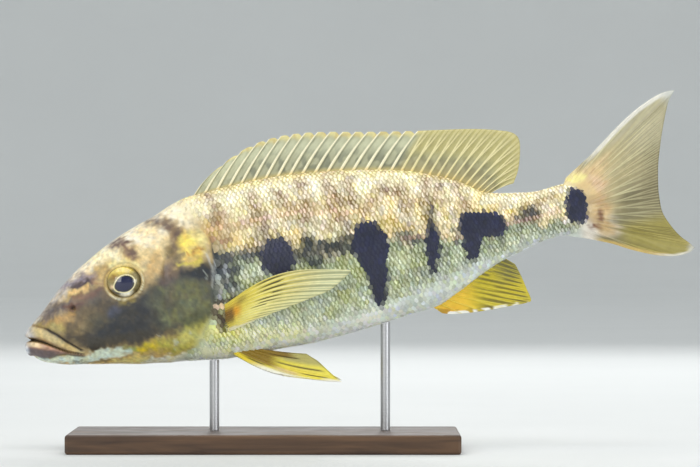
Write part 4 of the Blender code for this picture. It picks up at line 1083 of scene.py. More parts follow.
top, bottom, half, middle = (v[:, None] for v in section(ring_x))
power = 2 / section_power(ring_x)[:, None]
across, up = np.cos(turn)[None, :], np.sin(turn)[None, :]
grid_y = half * np.sign(across) * np.abs(across) ** power
grid_z = np.where(up > 0, top - middle, middle - bottom) * np.sign(up) * np.abs(up) ** power
centre_z = between(SNOUT[1], middle, ring_grow[:, None])
plain = np.stack([np.broadcast_to(ring_x[:, None], grid_y.shape), grid_y * ring_grow[:, None],
                  centre_z + grid_z * ring_grow[:, None]], axis=2)


def grid_normals(points):
    """Outward normals of a closed ring grid."""
    along = np.gradient(points, axis=0)
    around = np.roll(points, -1, axis=1) - np.roll(points, 1, axis=1)
    normals = np.cross(around, along)
    return normals / np.maximum(np.linalg.norm(normals, axis=2, keepdims=True), 1e-9)


normals = grid_normals(plain)
heights = relief(plain[..., 0], plain[..., 1], plain[..., 2])
skin_points = plain + normals * heights[..., None]
print("skin grid", skin_points.shape[:2], "relief from", round(float(heights.min()), 2), "to",
      round(float(heights.max()), 2), "mm")


# %% Make the skin
def ring_mesh(name, points, ends):
    """A closed mesh from rings of points, with a point at each end."""
    rings, turns = points.shape[:2]
    index = np.arange(rings * turns).reshape(rings, turns)
    after = np.roll(index, -1, axis=1)
    quads = np.stack([index[:-1], after[:-1], after[1:], index[1:]], axis=2).reshape(-1, 4)
    first, last = rings * turns, rings * turns + 1
    caps = np.concatenate([np.stack([after[0], index[0], np.full(turns, first)], axis=1),
                           np.stack([index[-1], after[-1], np.full(turns, last)], axis=1)])
    corners = np.concatenate([quads.ravel(), caps.ravel()])
    sizes = np.concatenate([np.full(len(quads), 4), np.full(len(caps), 3)])
    return mesh_from_arrays(name, np.concatenate([points.reshape(-1, 3), ends]), corners, sizes)


skin_ends = np.array([skin_points[0].mean(axis=0), skin_points[-1].mean(axis=0)])
straight = np.concatenate([skin_points.reshape(-1, 3), skin_ends])
skin_mesh = ring_mesh("skin", posed(skin_points.reshape(-1, 3)).reshape(skin_points.shape),
                      posed(skin_ends))
x, y, z = straight.T
skin_paint = face_details(flesh_colour(x, y, z), x, y, z)
on_head = 1 - fade((behind_gill(x, z) + 2) / 4)
freckle = 0.5 * (cloud(x, y, z, 1.6) - 0.5) + 0.38 * (cloud(x, y, z, 0.8) - 0.5)
warmth = (0.3 * (cloud(x, y + 60, z, 2.4) - 0.5))[:, None] * np.array([0.6, 0.1, -1.0])
freckle = 1 + on_head[:, None] * (freckle[:, None] + warmth)
set_paint(skin_mesh, np.clip(skin_paint * freckle, 0, 1))
flat_u = np.concatenate([np.repeat(ring_x / BAKE_LENGTH + 0.01, TURNS), [0.005, 0.995]])
flat_v = np.concatenate([np.tile(turn / (2 * np.pi), len(ring_x)), [0.5, 0.5]])
set_places(skin_mesh, "OFBake", np.stack([flat_u, flat_v * 0.98 + 0.01], axis=1))
skin_finish = painted_finish("fish_skin", 0.16, 420.0, (0.3, 0.5), (1400.0, 0.25), 0.25)
skin = add_piece("skin", skin_mesh, skin_finish,
                 ("head", "lower_jaw", "upper_lip", "lower_lip", "gill_cover_left",
                  "gill_cover_right", "trunk", "tail_stalk"))

# %% [markdown]
# ## Scales
#
# The species is named for its small scales: some ninety to a row. Each is a thin plate, rooted under
# the one ahead, whose rounded rear edge stands off the skin. One plate is laid out flat, and copies
# of it are carried to the skin through a table of the skin's own surface, so they follow every
# curve. Rows run along the body, every other row is moved half a scale, and the seen part of a scale
# is taller than it is long.

# %% Tabulate the skin's surface by distance round the body
ARC_STEP = 0.5
arc_marks = np.arange(-60, 60 + ARC_STEP, ARC_STEP)
quarter = TURNS // 4
half_turn = np.arange(-quarter, quarter + 1) % TURNS
skin_normals = grid_normals(skin_points)
side_points, side_normals = skin_points[:, half_turn], skin_normals[:, half_turn]
runs = np.linalg.norm(np.diff(side_points, axis=1), axis=2)
arcs = np.concatenate([np.zeros((len(ring_x), 1)), np.cumsum(runs, axis=1)], axis=1)
arcs = arcs - arcs[:, quarter:quarter + 1]
table = np.zeros((len(ring_x), len(arc_marks), 6))
for r in range(len(ring_x)):
    for c in range(3):
        table[r, :, c] = np.interp(arc_marks, arcs[r], side_points[r, :, c])
        table[r, :, 3 + c] = np.interp(arc_marks, arcs[r], side_normals[r, :, c])
arc_low, arc_high = arcs[:, 0], arcs[:, -1]


def on_skin(x, arc, side):
    """Points and normals of the skin at x and an arc distance up from the body's widest line."""
    r = np.interp(x, ring_x, np.arange(len(ring_x)))
    a = np.clip((arc - arc_marks[0]) / ARC_STEP, 0, len(arc_marks) - 1.001)
    r0, a0 = np.minimum(r.astype(int), len(ring_x) - 2), a.astype(int)
    fr, fa = (r - r0)[..., None], (a - a0)[..., None]
    found = (table[r0, a0] * (1 - fr) * (1 - fa) + table[r0 + 1, a0] * fr * (1 - fa)
             + table[r0, a0 + 1] * (1 - fr) * fa + table[r0 + 1, a0 + 1] * fr * fa)
    flip = np.array([1, side, 1])
    return found[..., :3] * flip, found[..., 3:] * flip


# %% Shape one plate
PLATE_ROWS, PLATE_COLUMNS = 5, 7
ROOT_START, PLATE_LENGTH, REAR_ROUNDING = -0.85, 1.47, 0.5
ROOT_HALF, BULGE = 0.62, 0.2
ROOT_LIFT, REAR_LIFT, CROWN, REAR_EDGE = -0.1, 0.3, 0.1, 0.22
plate_s = np.tile(np.linspace(-1, 1, PLATE_COLUMNS), PLATE_ROWS)
plate_t = np.repeat(np.linspace(0, 1, PLATE_ROWS), PLATE_COLUMNS)
plate_along = ROOT_START + (PLATE_LENGTH - REAR_ROUNDING * plate_s ** 2) * plate_t
plate_across = plate_s * (ROOT_HALF + BULGE * np.sin(np.pi * np.minimum(plate_t + 0.2, 1) / 1.1))
plate_lift = ROOT_LIFT + REAR_LIFT * plate_t ** 1.3 + CROWN * (1 - plate_s ** 2) * plate_t
rear = (PLATE_ROWS - 1) * PLATE_COLUMNS
first_under = rear + PLATE_COLUMNS
under = np.arange(rear, first_under)
plate_s, plate_t = (np.concatenate([v, v[under]]) for v in (plate_s, plate_t))
plate_along = np.concatenate([plate_along, plate_along[under] - 0.02])
plate_across = np.concatenate([plate_across, plate_across[under]])
plate_lift = np.concatenate([plate_lift, plate_lift[under] - REAR_EDGE])

# %% Join the plate's points into faces
plate_faces = [(r + c, r + c + 1, r + PLATE_COLUMNS + c + 1, r + PLATE_COLUMNS + c)
               for r in range(0, rear, PLATE_COLUMNS) for c in range(PLATE_COLUMNS - 1)]
plate_faces += [(rear + c, rear + c + 1, first_under + c + 1, first_under + c)
                for c in range(PLATE_COLUMNS - 1)]
low_edge = [r * PLATE_COLUMNS for r in range(PLATE_ROWS)]
high_edge = [r * PLATE_COLUMNS + PLATE_COLUMNS - 1 for r in range(PLATE_ROWS)]
back_row = list(range(first_under, first_under + PLATE_COLUMNS))
plate_faces.append(tuple(range(PLATE_COLUMNS - 1, 0, -1)) + tuple(low_edge) + tuple(back_row)
                   + tuple(high_edge[:0:-1]))
plate_corners = np.concatenate([np.array(face) for face in plate_faces])
plate_sizes = np.array([len(face) for face in plate_faces])
print("one plate has", len(plate_s), "points and", int((plate_sizes - 2).sum()), "triangles")

# %% Set out the rows
ROW_HEIGHT = 2.5
ROWS_EACH_WAY = 24
SCALE_LENGTHS = (2.3, 2.0)
FIRST_SCALE, LAST_SCALE = 80.0, 297.5
rng = np.random.default_rng(23)


def length_at(x):
    """Length of the seen part of a scale, a little less towards the tail."""
    return between(*SCALE_LENGTHS, fade((np.asarray(x) - 150) / 130))


def height_at(x):
    """Height of a row of scales."""
    return ROW_HEIGHT * between(1.0, 0.8, fade((np.asarray(x) - 170) / 110))


half_steps = [FIRST_SCALE]
while half_steps[-1] < ROUND_START + ROUND_REACH - 1:
    half_steps.append(half_steps[-1] + 0.5 * float(length_at(half_steps[-1])))
half_steps = np.array(half_steps)
seats = []
for row in range(-ROWS_EACH_WAY, ROWS_EACH_WAY + 1):
    x_row = half_steps[row % 2::2]
    arc_row = (row + 0.5) * height_at(x_row)
    margin = 0.2 * height_at(x_row)
    inside = (arc_row > np.interp(x_row, ring_x, arc_low) + margin)
    inside &= arc_row < np.interp(x_row, ring_x, arc_high) - margin
    seats.append(np.stack([x_row, arc_row], axis=1)[inside])
seats = np.concatenate(seats)
seat_points, _ = on_skin(seats[:, 0], seats[:, 1], 1)
behind = behind_gill(seat_points[:, 0], seat_points[:, 2])
seats = seats[(behind > 1.2) & (seats[:, 0] < LAST_SCALE)]
print(len(seats), "scales on each side")


# %% Work out each scale's paint
def scale_paint(x, y, z):
    """Each scale's own colour, and how strongly its painted highlight shows."""
    paint = flesh_colour(x, y, z)
    for line in LATERAL_LINE:
        on_line = line_distance(x, z, line) < 1.1
        paint = over(paint, tone(232, 176, 156), 0.25 * on_line)
    edge = flank_edge(x)
    dark = fade(0.5 - (stroke_distance(x, z, BLOTCHES) + rng.normal(0, 0.5, len(x))) / 2)
    paint = over(paint, BLOTCH_PAINT, 0.99 * dark)
    belly = fade((belly_edge(x) - z) / 6 + 0.5)
    low = fade((edge - z - 8) / 14)
    contrast = between(1.0, 0.96, low) * (1 - 0.9 * belly) * (1 - 0.75 * dark)
    contrast = contrast * (0.68 + 1.6 * np.clip(0.6 - paint.mean(axis=1), 0, 0.28))
    front = fade((behind_gill(x, z) - 1) / between(12, 34, fade((z - 18) / 10)))
    return paint, contrast * between(0.3, 1.0, front) * (1 - 0.9 * fade((x - 293) / 5))


# %% [markdown]
# ### The finish of a scale, with its painted highlight
#
# Seen close, every scale on the back shows a bright streak of light, leaning backwards, inside a
# darker rim, and that net of dark rims is what the eye reads as scales. The material reads where it
# is on the plate from a second UV map, brightens the leaning middle as a painted highlight and darkens
# the rim. How strongly it does so is the alpha of the paint: strong on the back, weak on the belly and
# inside the blotches.

# %% Find the place on the plate, shaken a little
def squared(tree, value, size):
    """The square of how many sizes a value is."""
    return maths(tree, "POWER", maths(tree, "ABSOLUTE", maths(tree, "DIVIDE", value, size)), 2.0)


HIGHLIGHT_LENGTH, HIGHLIGHT_HEIGHT = 0.26, 0.66
scale_finish, tree, shader = new_material("fish_scales")
paint = add_node(tree, "ShaderNodeVertexColor", {"layer_name": "paint"})
spot = add_node(tree, "ShaderNodeUVMap", {"uv_map": "plate"})
axes = add_node(tree, "ShaderNodeSeparateXYZ", Vector=spot.outputs["UV"])
along_plate = maths(tree, "MULTIPLY", maths(tree, "SUBTRACT", axes.outputs["X"], 0.5), 2.0)
across_plate = maths(tree, "MULTIPLY", maths(tree, "SUBTRACT", axes.outputs["Y"], 0.5), 2.0)
unrest = add_noise(tree, 620.0, 2.0)
shifts = add_node(tree, "ShaderNodeSeparateColor", Color=unrest.outputs["Color"])
shift_along = maths(tree, "SUBTRACT", shifts.outputs["Red"], 0.5)
shift_across = maths(tree, "SUBTRACT", shifts.outputs["Green"], 0.5)
along_highlight = maths(tree, "ADD", along_plate, maths(tree, "MULTIPLY", shift_along, 0.8))
across_highlight = maths(tree, "ADD", across_plate, maths(tree, "MULTIPLY", shift_across, 1.0))

# %% Paint a highlight on the leaning middle of each plate
leaning = maths(tree, "ADD", maths(tree, "SUBTRACT", along_highlight, 0.12),
                maths(tree, "MULTIPLY", across_highlight, 0.14))
long_way = squared(tree, across_highlight, HIGHLIGHT_HEIGHT)
short_way = squared(tree, leaning, HIGHLIGHT_LENGTH)
away = maths(tree, "SQRT", maths(tree, "ADD", long_way, short_way))
# painted highlight: 1 on the plate's leaning middle, falling to 0 at its rim
grain = add_node(tree, "ShaderNodeMapRange", {"interpolation_type": "SMOOTHSTEP"}, Value=away,
                 From_Min=0.4, From_Max=1.5, To_Min=1.0, To_Max=0.0)
swing = maths(tree, "MULTIPLY", maths(tree, "SUBTRACT", grain.outputs["Result"], 0.5),
              paint.outputs["Alpha"])
bright = maths(tree, "ADD", maths(tree, "MULTIPLY", swing, 0.8), 1.0)
tinted = add_node(tree, "ShaderNodeHueSaturation", Value=bright, Color=paint.outputs["Color"])
saturate = maths(tree, "SUBTRACT", 1.0, maths(tree, "MULTIPLY", swing, 0.5))
link_in(tree, saturate, tinted.inputs["Saturation"])

# %% Finish the scale's shader
damp_flesh(tree, shader, tinted.outputs["Color"], 0.3, 500.0, (0.3, 0.5), (1600.0, 0.15), 0.2)


# %% Place and paint the plates
def plate_points(x_seat, arc_seat, side):
    """The points of a plate at every seat, each a little off in size, place and tilt."""
    count = len(x_seat)
    length, height = length_at(x_seat), height_at(x_seat)
    size = rng.normal(1.0, 0.07, (count, 1))
    x = x_seat + length * (plate_along * size + rng.normal(0, 0.08, (count, 1)))
    arc = arc_seat + height * (plate_across * size + rng.normal(0, 0.06, (count, 1)))
    low, high = np.interp(x, ring_x, arc_low), np.interp(x, ring_x, arc_high)
    place, normal = on_skin(x, np.clip(arc, low, high), side)
    tilt = rng.normal(0, 0.04, (count, 1))
    points = place + normal * (plate_lift + tilt * plate_t)[..., None]
    points[..., 1] = side * np.maximum(points[..., 1] * side, 0)
    return points


def plate_paint(x_seat, arc_seat, side):
    """One paint and one contrast for each plate, lighter or darker than its neighbours."""
    count = len(x_seat)
    middle = x_seat[:, 0] + 0.1 * length_at(x_seat)[:, 0]
    seat, _ = on_skin(middle, arc_seat[:, 0], side)
    paint, contrast = scale_paint(*seat.T)
    clump = 0.84 + 0.32 * cloud(seat[:, 0], seat[:, 1], seat[:, 2], 3.4)
    spread = 0.1 + 0.16 * fade((0.3 - paint.mean(axis=1)) / 0.15) * (paint.mean(axis=1) > 0.03)
    paint = paint * (clump * (1 + spread * rng.normal(0, 1, count)))[:, None]
    paint = paint * rng.normal(1.0, 0.02, (count, 3))
    paint[:, 2] *= rng.normal(1.0, 0.1, count)
    return np.clip(paint, 0, 1), contrast * rng.uniform(0.6, 1.4, count)


# %% Lay the scales on both flanks
def lay_scales(name, chosen, side):
    """One coat piece: plates at the chosen seats of one side."""
    x_seat, arc_seat = seats[chosen, :1], seats[chosen, 1:]
    count, per_plate = len(x_seat), len(plate_s)
    points = plate_points(x_seat, arc_seat, side)
    order = np.arange(len(plate_corners))
    if side < 0:
        ends = np.cumsum(plate_sizes)
        order = np.concatenate([np.arange(a, b)[::-1] for a, b in zip(ends - plate_sizes, ends)])
    corners = (plate_corners[order] + per_plate * np.arange(count)[:, None]).ravel()
    mesh = mesh_from_arrays(name, posed(points.reshape(-1, 3)), corners, np.tile(plate_sizes, count))
    paint, contrast = plate_paint(x_seat, arc_seat, side)
    set_paint(mesh, np.repeat(paint, per_plate, axis=0), np.repeat(contrast, per_plate))
    root_u = x_seat / BAKE_LENGTH + 0.01
    root_v = 0.5 + side * (0.25 - arc_seat / 260)
    bake = np.stack([root_u + 0.0015 * plate_along, root_v + 0.0015 * plate_across], axis=2)
    set_places(mesh, "OFBake", bake.reshape(-1, 2))
    plate = np.stack([plate_along, plate_across], axis=1) * 0.5 + 0.5
    plate = plate + rng.normal(0, 0.045, (count, 1, 2))
    set_places(mesh, "plate", plate.reshape(-1, 2))
    return add_piece(name, mesh, scale_finish, sharp=50)


SIDES = ((-1, "left"), (1, "right"))
order = np.argsort(seats[:, 0], kind="stable")
parts = np.array_split(order, 2)
for side, label in SIDES:
    for part, where in zip(parts, ("front", "rear")):
        lay_scales("scales_" + label + "_" + where, part, side)

# %% [markdown]
# ## Eyes
#
# A museum fish has glass eyes: a painted iris and pupil under clear gloss. The pupil is dark blue,
# wider than tall and drawn to a point in front, with a thin bright ring, and the iris is olive and
# gold above, with a white patch below. An ellipsoid painted by place, under a clear coat, gives that.

# %% Paint the eyes
EYE_RINGS, EYE_TURNS = 72, 96
PUPIL_TILT, PUPIL_HALF = 0.2, (5.35, 4.15)


def eye_paint(x, z):
    """Paint of the eye by distance from its middle, x tailwards and z up."""
    out = np.hypot(x / EYE_OPENING[0], z / EYE_OPENING[1])
    cos, sin = math.cos(PUPIL_TILT), math.sin(PUPIL_TILT)
    px, pz = x + 0.1, z + 1.0
    px, pz = px * cos + pz * sin, -px * sin + pz * cos
    narrow = between(1.0, 0.82, fade(-px / 5.0))
    pupil = np.hypot(px / PUPIL_HALF[0], pz / (PUPIL_HALF[1] * narrow))
    patch = np.hypot((x + 0.2) / 3.2, (z + 5.9) / 1.9)
    corner = np.hypot((x + 6.4) / 1.2, (z + 1.0) / 1.0)
    paint = layered(
        even((152, 136, 84), x),
        # gold with a brown cloud above, olive below, greyer behind
        ((232, 206, 94), fade((z - 2.6) / 3)),
        ((140, 102, 48), 0.8 * bump(x + 4.6, 2.4) * bump(z - 4.0, 1.8)),
        ((104, 92, 56), 0.8 * fade((-z + 0.5) / 3)),
        ((150, 142, 106), 0.75 * fade((x - 4.8) / 2.4)),
        # a dark edge, a cream spot in front of the pupil and the white patch below it
        ((58, 48, 34), 0.85 * bump(pupil - 1.3, 0.12) * fade((-z - 1.5) / 2) * fade((-x + 1) / 2)),
        ((240, 208, 160), bump(corner, 1.0, 3)),
        ((254, 250, 230), bump(patch, 1.0, 4)),
        # the bright ring, and the pupil with its darker rim
        ((250, 240, 188), bump(pupil - 1.07, 0.07, 4)),
        ((14, 16, 30), fade((1.02 - pupil) / 0.05)),
        ((11, 19, 64), fade((0.93 - pupil) / 0.16)))
    streaks = 0.8 + 0.4 * cloud(np.arctan2(z, x) * 9, out * 3, 0, 0.8)
    paint = paint * np.where(pupil > 1.15, streaks, 1.0)[..., None]
    # painted shade where the eye's edge sinks into its socket
    return over(paint, tone(92, 80, 50), 0.6 * fade((out - 0.96) / 0.07))


# %% Set the eyes
eye_finish = painted_finish("glass_eye", 0.05, 900.0, (0.08, 0.14), (900.0, 0.02), 1.0, 0.03)
eye_out = np.pi * np.arange(1, EYE_RINGS) / EYE_RINGS
eye_turn = 2 * np.pi * np.arange(EYE_TURNS) / EYE_TURNS
for side, label in SIDES:
    ball_x = EYE_RADII[0] * np.sin(eye_out)[:, None] * np.cos(eye_turn)
    ball_z = EYE_RADII[2] * np.sin(eye_out)[:, None] * np.sin(eye_turn)
    ball_y = side * EYE_RADII[1] * np.cos(eye_out)[:, None] * np.ones(EYE_TURNS)
    middle_of_eye = np.array([EYE_PLACE[0], side * EYE_PLACE[1], EYE_PLACE[2]])
    ball = np.stack([ball_x, ball_y, ball_z], axis=2)
    ends = np.array([[0, side * EYE_RADII[1], 0], [0, -side * EYE_RADII[1], 0]])
    if side < 0:
        ball = ball[:, ::-1]
    eye_points = ball + middle_of_eye
    eye_mesh = ring_mesh("eye_" + label, posed(eye_points.reshape(-1, 3)).reshape(eye_points.shape),
                         posed(ends + middle_of_eye))
    flat = np.concatenate([ball.reshape(-1, 3), ends])
    set_paint(eye_mesh, np.clip(eye_paint(flat[:, 0], flat[:, 2]), 0, 1))
    add_piece("glass_eye_" + label, eye_mesh, eye_finish, ("eye_" + label,))

# %% [markdown]
# ## Fins
#
# A fin is a thin skin stretched over rays. The front of the back fin stands on seventeen spines,
# and behind them come soft rays that fork towards the edge and are made of short joints. Each fin is
# a grid over (ray number, share of the ray's length), laid out by its root line and its edge, with a
# thickness at each point: ridges on the rays, forks and joints, and a thin skin between them. A fine
# grid holds all of this in one closed mesh.

# %% Helpers for fins
def places_along(path, shares):
    """The places at these shares of a path's length."""
    lengths = np.concatenate([[0.0], np.cumsum(np.linalg.norm(np.diff(path, axis=0), axis=1))])
    wanted = np.asarray(shares) * lengths[-1]
    return np.stack([np.interp(wanted, lengths, column) for column in path.T], axis=-1)


def edge_reader(knots, shares):
    """Reads a fin's edge by ray number."""
    path = smooth_path(knots)
    return lambda ray: places_along(path, np.interp(ray, np.arange(len(shares)), shares))


def ray_grid(rays, per_ray, rows):
    """A grid of ray numbers and shares of a ray's length, for a whole fin."""
    ray = np.linspace(0, rays - 1, (rays - 1) * per_ray + 1)
    return np.meshgrid(ray, np.linspace(0, 1, rows), indexing="ij")


def lay_out(root, tip, bow, t):
    """Flat places on a fin whose rays are bowed a little."""
    run = tip - root
    length = np.linalg.norm(run, axis=-1, keepdims=True)
    square = np.stack([-run[..., 1], run[..., 0]], axis=-1) / length
    return root + run * t[..., None] + square * (bow * np.sin(np.pi * t))[..., None]


# %% Shape rays and spines
def soft_ridge(ray, t, forks=(0.3, 0.62), spreads=(0.22, 0.1)):
    """1 on the middle of a forking ray or its branches, falling to 0 between them."""
    off = ray - np.round(ray)
    width = between(0.15, 0.07, t)
    first = spreads[0] * fade((t - forks[0]) / 0.6)
    second = spreads[1] * fade((t - forks[1]) / 0.5)
    best = np.zeros(np.shape(ray))
    for one in (-1, 1):
        for two in (-1, 1):
            best = np.maximum(best, bump(off - one * first - two * second, width))
    return best


def spine_ridge(ray, t):
    """1 on the middle of a spine, falling to 0 beside it."""
    off = ray - np.round(ray)
    return bump(off, between(0.13, 0.08, t), 3)


def between_rays(ray):
    """0 on a ray and 1 midway to the next."""
    return np.abs(ray - np.round(ray)) * 2


def half_thickness(t, skin, root, root_share, ridge, ray_halves):
    """Half the thickness of a fin: a skin that swells at the root, with ridges on its rays."""
    return skin + root * (1 - fade(t / root_share)) + ridge * between(*ray_halves, t)


# %% Make a closed blade
def fin_mesh(name, points, halves, wave):
    """A closed blade from a grid of points, with half thicknesses and a sideways wave."""
    along, across = np.gradient(points, axis=1), np.gradient(points, axis=0)
    normal = np.cross(along, across)
    normal /= np.maximum(np.linalg.norm(normal, axis=2, keepdims=True), 1e-9)
    halves = halves.copy()
    halves[[0, -1], :] *= 0.4
    halves[:, -1] *= 0.4
    upper = points + normal * (wave + halves)[..., None]
    lower = points + normal * (wave - halves)[..., None]
    wide, tall = points.shape[:2]
    index = np.arange(wide * tall).reshape(wide, tall)
    quads = np.stack([index[:-1, :-1], index[:-1, 1:], index[1:, 1:], index[1:, :-1]], axis=2)
    quads = quads.reshape(-1, 4)
    back = quads[:, ::-1] + wide * tall
    rim = np.concatenate([index[:, 0], index[-1, 1:], index[-2::-1, -1], index[0, -2:0:-1]])
    ahead = np.roll(rim, -1)
    side = np.stack([rim, ahead, ahead + wide * tall, rim + wide * tall], axis=1)
    faces = np.concatenate([quads, back, side])
    both = np.concatenate([upper.reshape(-1, 3), lower.reshape(-1, 3)])
    mesh = mesh_from_arrays(name, posed(both), faces.ravel(), np.full(len(faces), 4))
    u, v = np.meshgrid(np.linspace(0, 1, wide), np.linspace(0, 1, tall), indexing="ij")
    flat = np.stack([u.ravel() * 0.97 + 0.015, v.ravel() * 0.47 + 0.015], axis=1)
    set_places(mesh, "OFBake", np.concatenate([flat, flat + [0, 0.5]]))
    return mesh


fin_finish = painted_finish("fin_skin", 0.14, 380.0, (0.3, 0.5), (1200.0, 0.2), 0.2)


def make_fin(name, flat, aside, halves, wave, paint):
    """Makes a fin from its flat places and how far they stand to the side."""
    x, z = flat[..., 0], flat[..., 1]
    points = np.stack([x, np.broadcast_to(aside, x.shape), z], axis=2)
    mesh = fin_mesh(name, points, halves, wave)
    paint = np.clip(paint, 0, 1).reshape(-1, 3)
    set_paint(mesh, np.concatenate([paint, paint]))
    return add_piece(name + "_skin", mesh, fin_finish, (name,))


# %% [markdown]
# ### The back fin
#
# Seventeen cream spines lean back over a grey-green skin that turns straw yellow at its edge. The
# skin is cut in a little before each spine tip, which gives the fin its row of small lobes.

# %% Measure the back fin
DORSAL_START, DORSAL_SPINES, DORSAL_SPINE_PITCH = 101.4, 17, 6.4
DORSAL_SOFT_RAYS, DORSAL_SOFT_PITCHES = 14, (5.0, 1.62)
SPINE_TIP_SHARES = ((0, 0.006), (1, 0.059), (2, 0.108), (3, 0.156), (4, 0.19), (7, 0.289), (16, 0.594))
DORSAL_BOW, SPINE_NOTCH = 0.6, 2.0
DORSAL_EDGE = ((112.8, 59.9), (126.1, 66), (138.9, 69.8), (152.7, 70.6), (165.9, 69.2),
               (177.2, 66.9), (193.4, 62.9), (218.4, 57.1), (248.7, 50.7), (263.7, 46.2), (269.8, 43.4),
               (272.2, 39.6), (271.4, 33.6), (268.2, 24.5), (264, 18))
FIN_SUNK = 1.2
spine_roots = DORSAL_START + DORSAL_SPINE_PITCH * np.arange(DORSAL_SPINES)
soft_roots = spine_roots[-1] + np.cumsum(np.linspace(*DORSAL_SOFT_PITCHES, DORSAL_SOFT_RAYS))
dorsal_roots = np.concatenate([spine_roots, soft_roots])
dorsal_rays = len(dorsal_roots)
spine_shares = np.interp(np.arange(DORSAL_SPINES), *zip(*SPINE_TIP_SHARES))
soft_shares = between(spine_shares[-1], 1.0, np.arange(1, DORSAL_SOFT_RAYS + 1) / DORSAL_SOFT_RAYS)
dorsal_shares = np.concatenate([spine_shares, soft_shares])
print("the back fin has", dorsal_rays, "rays from", DORSAL_START, "to", round(dorsal_roots[-1], 1), "mm")

# %% Lay out the back fin, notched before each spine
ray, t = ray_grid(dorsal_rays, 20, 34)
root_x = np.interp(ray, np.arange(dorsal_rays), dorsal_roots)
root = np.stack([root_x, top_of_body(root_x) - FIN_SUNK], axis=-1)
tip = edge_reader(DORSAL_EDGE, dorsal_shares)(ray)
inward = (root - tip) / np.linalg.norm(root - tip, axis=-1, keepdims=True)
share = ray % 1.0
spiny = ray < DORSAL_SPINES - 1
notch = SPINE_NOTCH * np.clip((share - 0.4) / 0.5, 0, 1) ** 1.5
notch = np.where(share > 0.93, SPINE_NOTCH * (1 - share) / 0.07, notch) * spiny
flat = lay_out(root, tip + inward * notch[..., None], DORSAL_BOW, t)

# %% Raise its spines, rays and joints
soft = fade(ray - (DORSAL_SPINES - 1))
ridge = between(spine_ridge(ray, t), soft_ridge(ray, t), soft)
joints = 1 + 0.12 * np.sin(2 * np.pi * t * 26) * soft * fade((t - 0.25) / 0.2)
dorsal_halves = half_thickness(t, 0.2, 0.7, 0.14, ridge * joints, (0.72, 0.26))
dorsal_wave = 0.35 * np.sin(2 * np.pi * share) * np.sin(np.pi * t) * (1 - ridge)

# %% Paint its membrane
x, z = flat[..., 0], flat[..., 1]
freckles = fade((cloud(x, 9, z, 1.8) - 0.55) / 0.15) * fade((t - 0.84) / 0.08)
shadow = bump(share - 0.17, 0.08) * (1 - soft) * (1 - fade((t - 0.8) / 0.15))
membrane = layered(
    even((168, 168, 136), ray),
    ((118, 122, 100), 0.8 * fade((cloud(x, 0, z, 3.0) - 0.42) / 0.25) * (1 - fade((t - 0.6) / 0.25))),
    ((208, 210, 176), 0.75 * bump(t - 0.7, 0.22) * (1 - soft)),
    ((206, 206, 168), 0.55 * fade((4.5 - ray) / 3)),
    ((196, 180, 116), fade((0.16 - t) / 0.14)),
    ((230, 218, 152), 0.9 * fade((t - 0.84) / 0.12)),
    ((190, 160, 92), 0.35 * freckles),
    ((188, 178, 114), 0.85 * soft * fade((t - 0.2) / 0.4)),
    ((164, 148, 96), 0.6 * soft * fade((0.45 - t) / 0.3)),
    ((96, 98, 78), 0.45 * shadow))

# %% Paint its spines and make it
bone = layered(
    even((255, 248, 214), ray),
    ((234, 222, 160), 0.8 * soft),
    ((240, 212, 126), 0.7 * fade((0.16 - t) / 0.12)))
bone_cover = fade((ridge - 0.2) / 0.35) * between(1.0, 0.35, soft * fade((t - 0.55) / 0.4))
dorsal_paint = over(membrane, bone, bone_cover)
make_fin("dorsal_fin", flat, 0.0, dorsal_halves, dorsal_wave, dorsal_paint)

# %% [markdown]
# ### The anal fin
#
# Three short spines and eleven soft rays under the rear of the belly: orange in front, olive-yellow
# behind with dark streaks between the rays, and white dashes along the leading edge.

# %% Lay out the anal fin
ANAL_START, ANAL_SPINES, ANAL_SPINE_PITCH = 207.5, 3, 4.2
ANAL_SOFT_RAYS, ANAL_SOFT_PITCH = 11, 3.1
ANAL_TIP_SHARES = ((0, 0.06), (1, 0.2), (2, 0.35), (3, 0.53), (4, 0.66), (5, 0.715), (13, 1.0))
ANAL_EDGE = ((208, -36.4), (217, -39.8), (230.5, -41.9), (244.5, -42.9), (255.6, -43.5),
             (258.2, -42.4), (257.4, -36.5), (256.5, -30.6), (255.2, -24.6), (254.6, -22.6))
anal_spine_roots = ANAL_START + ANAL_SPINE_PITCH * np.arange(ANAL_SPINES)
anal_soft_roots = anal_spine_roots[-1] + ANAL_SOFT_PITCH * np.arange(1, ANAL_SOFT_RAYS + 1)
anal_roots = np.concatenate([anal_spine_roots, anal_soft_roots])
anal_rays = len(anal_roots)
ray, t = ray_grid(anal_rays, 22, 32)
root_x = np.interp(ray, np.arange(anal_rays), anal_roots)
root = np.stack([root_x, bottom_of_body(root_x) + FIN_SUNK], axis=-1)
tip = edge_reader(ANAL_EDGE, np.interp(np.arange(anal_rays), *zip(*ANAL_TIP_SHARES)))(ray)
flat = lay_out(root, tip, 0.0, t)
soft = fade(ray - (ANAL_SPINES - 1))
ridge = between(spine_ridge(ray, t), soft_ridge(ray, t), soft)
anal_halves = half_thickness(t, 0.2, 0.7, 0.2, ridge, (0.7, 0.26))

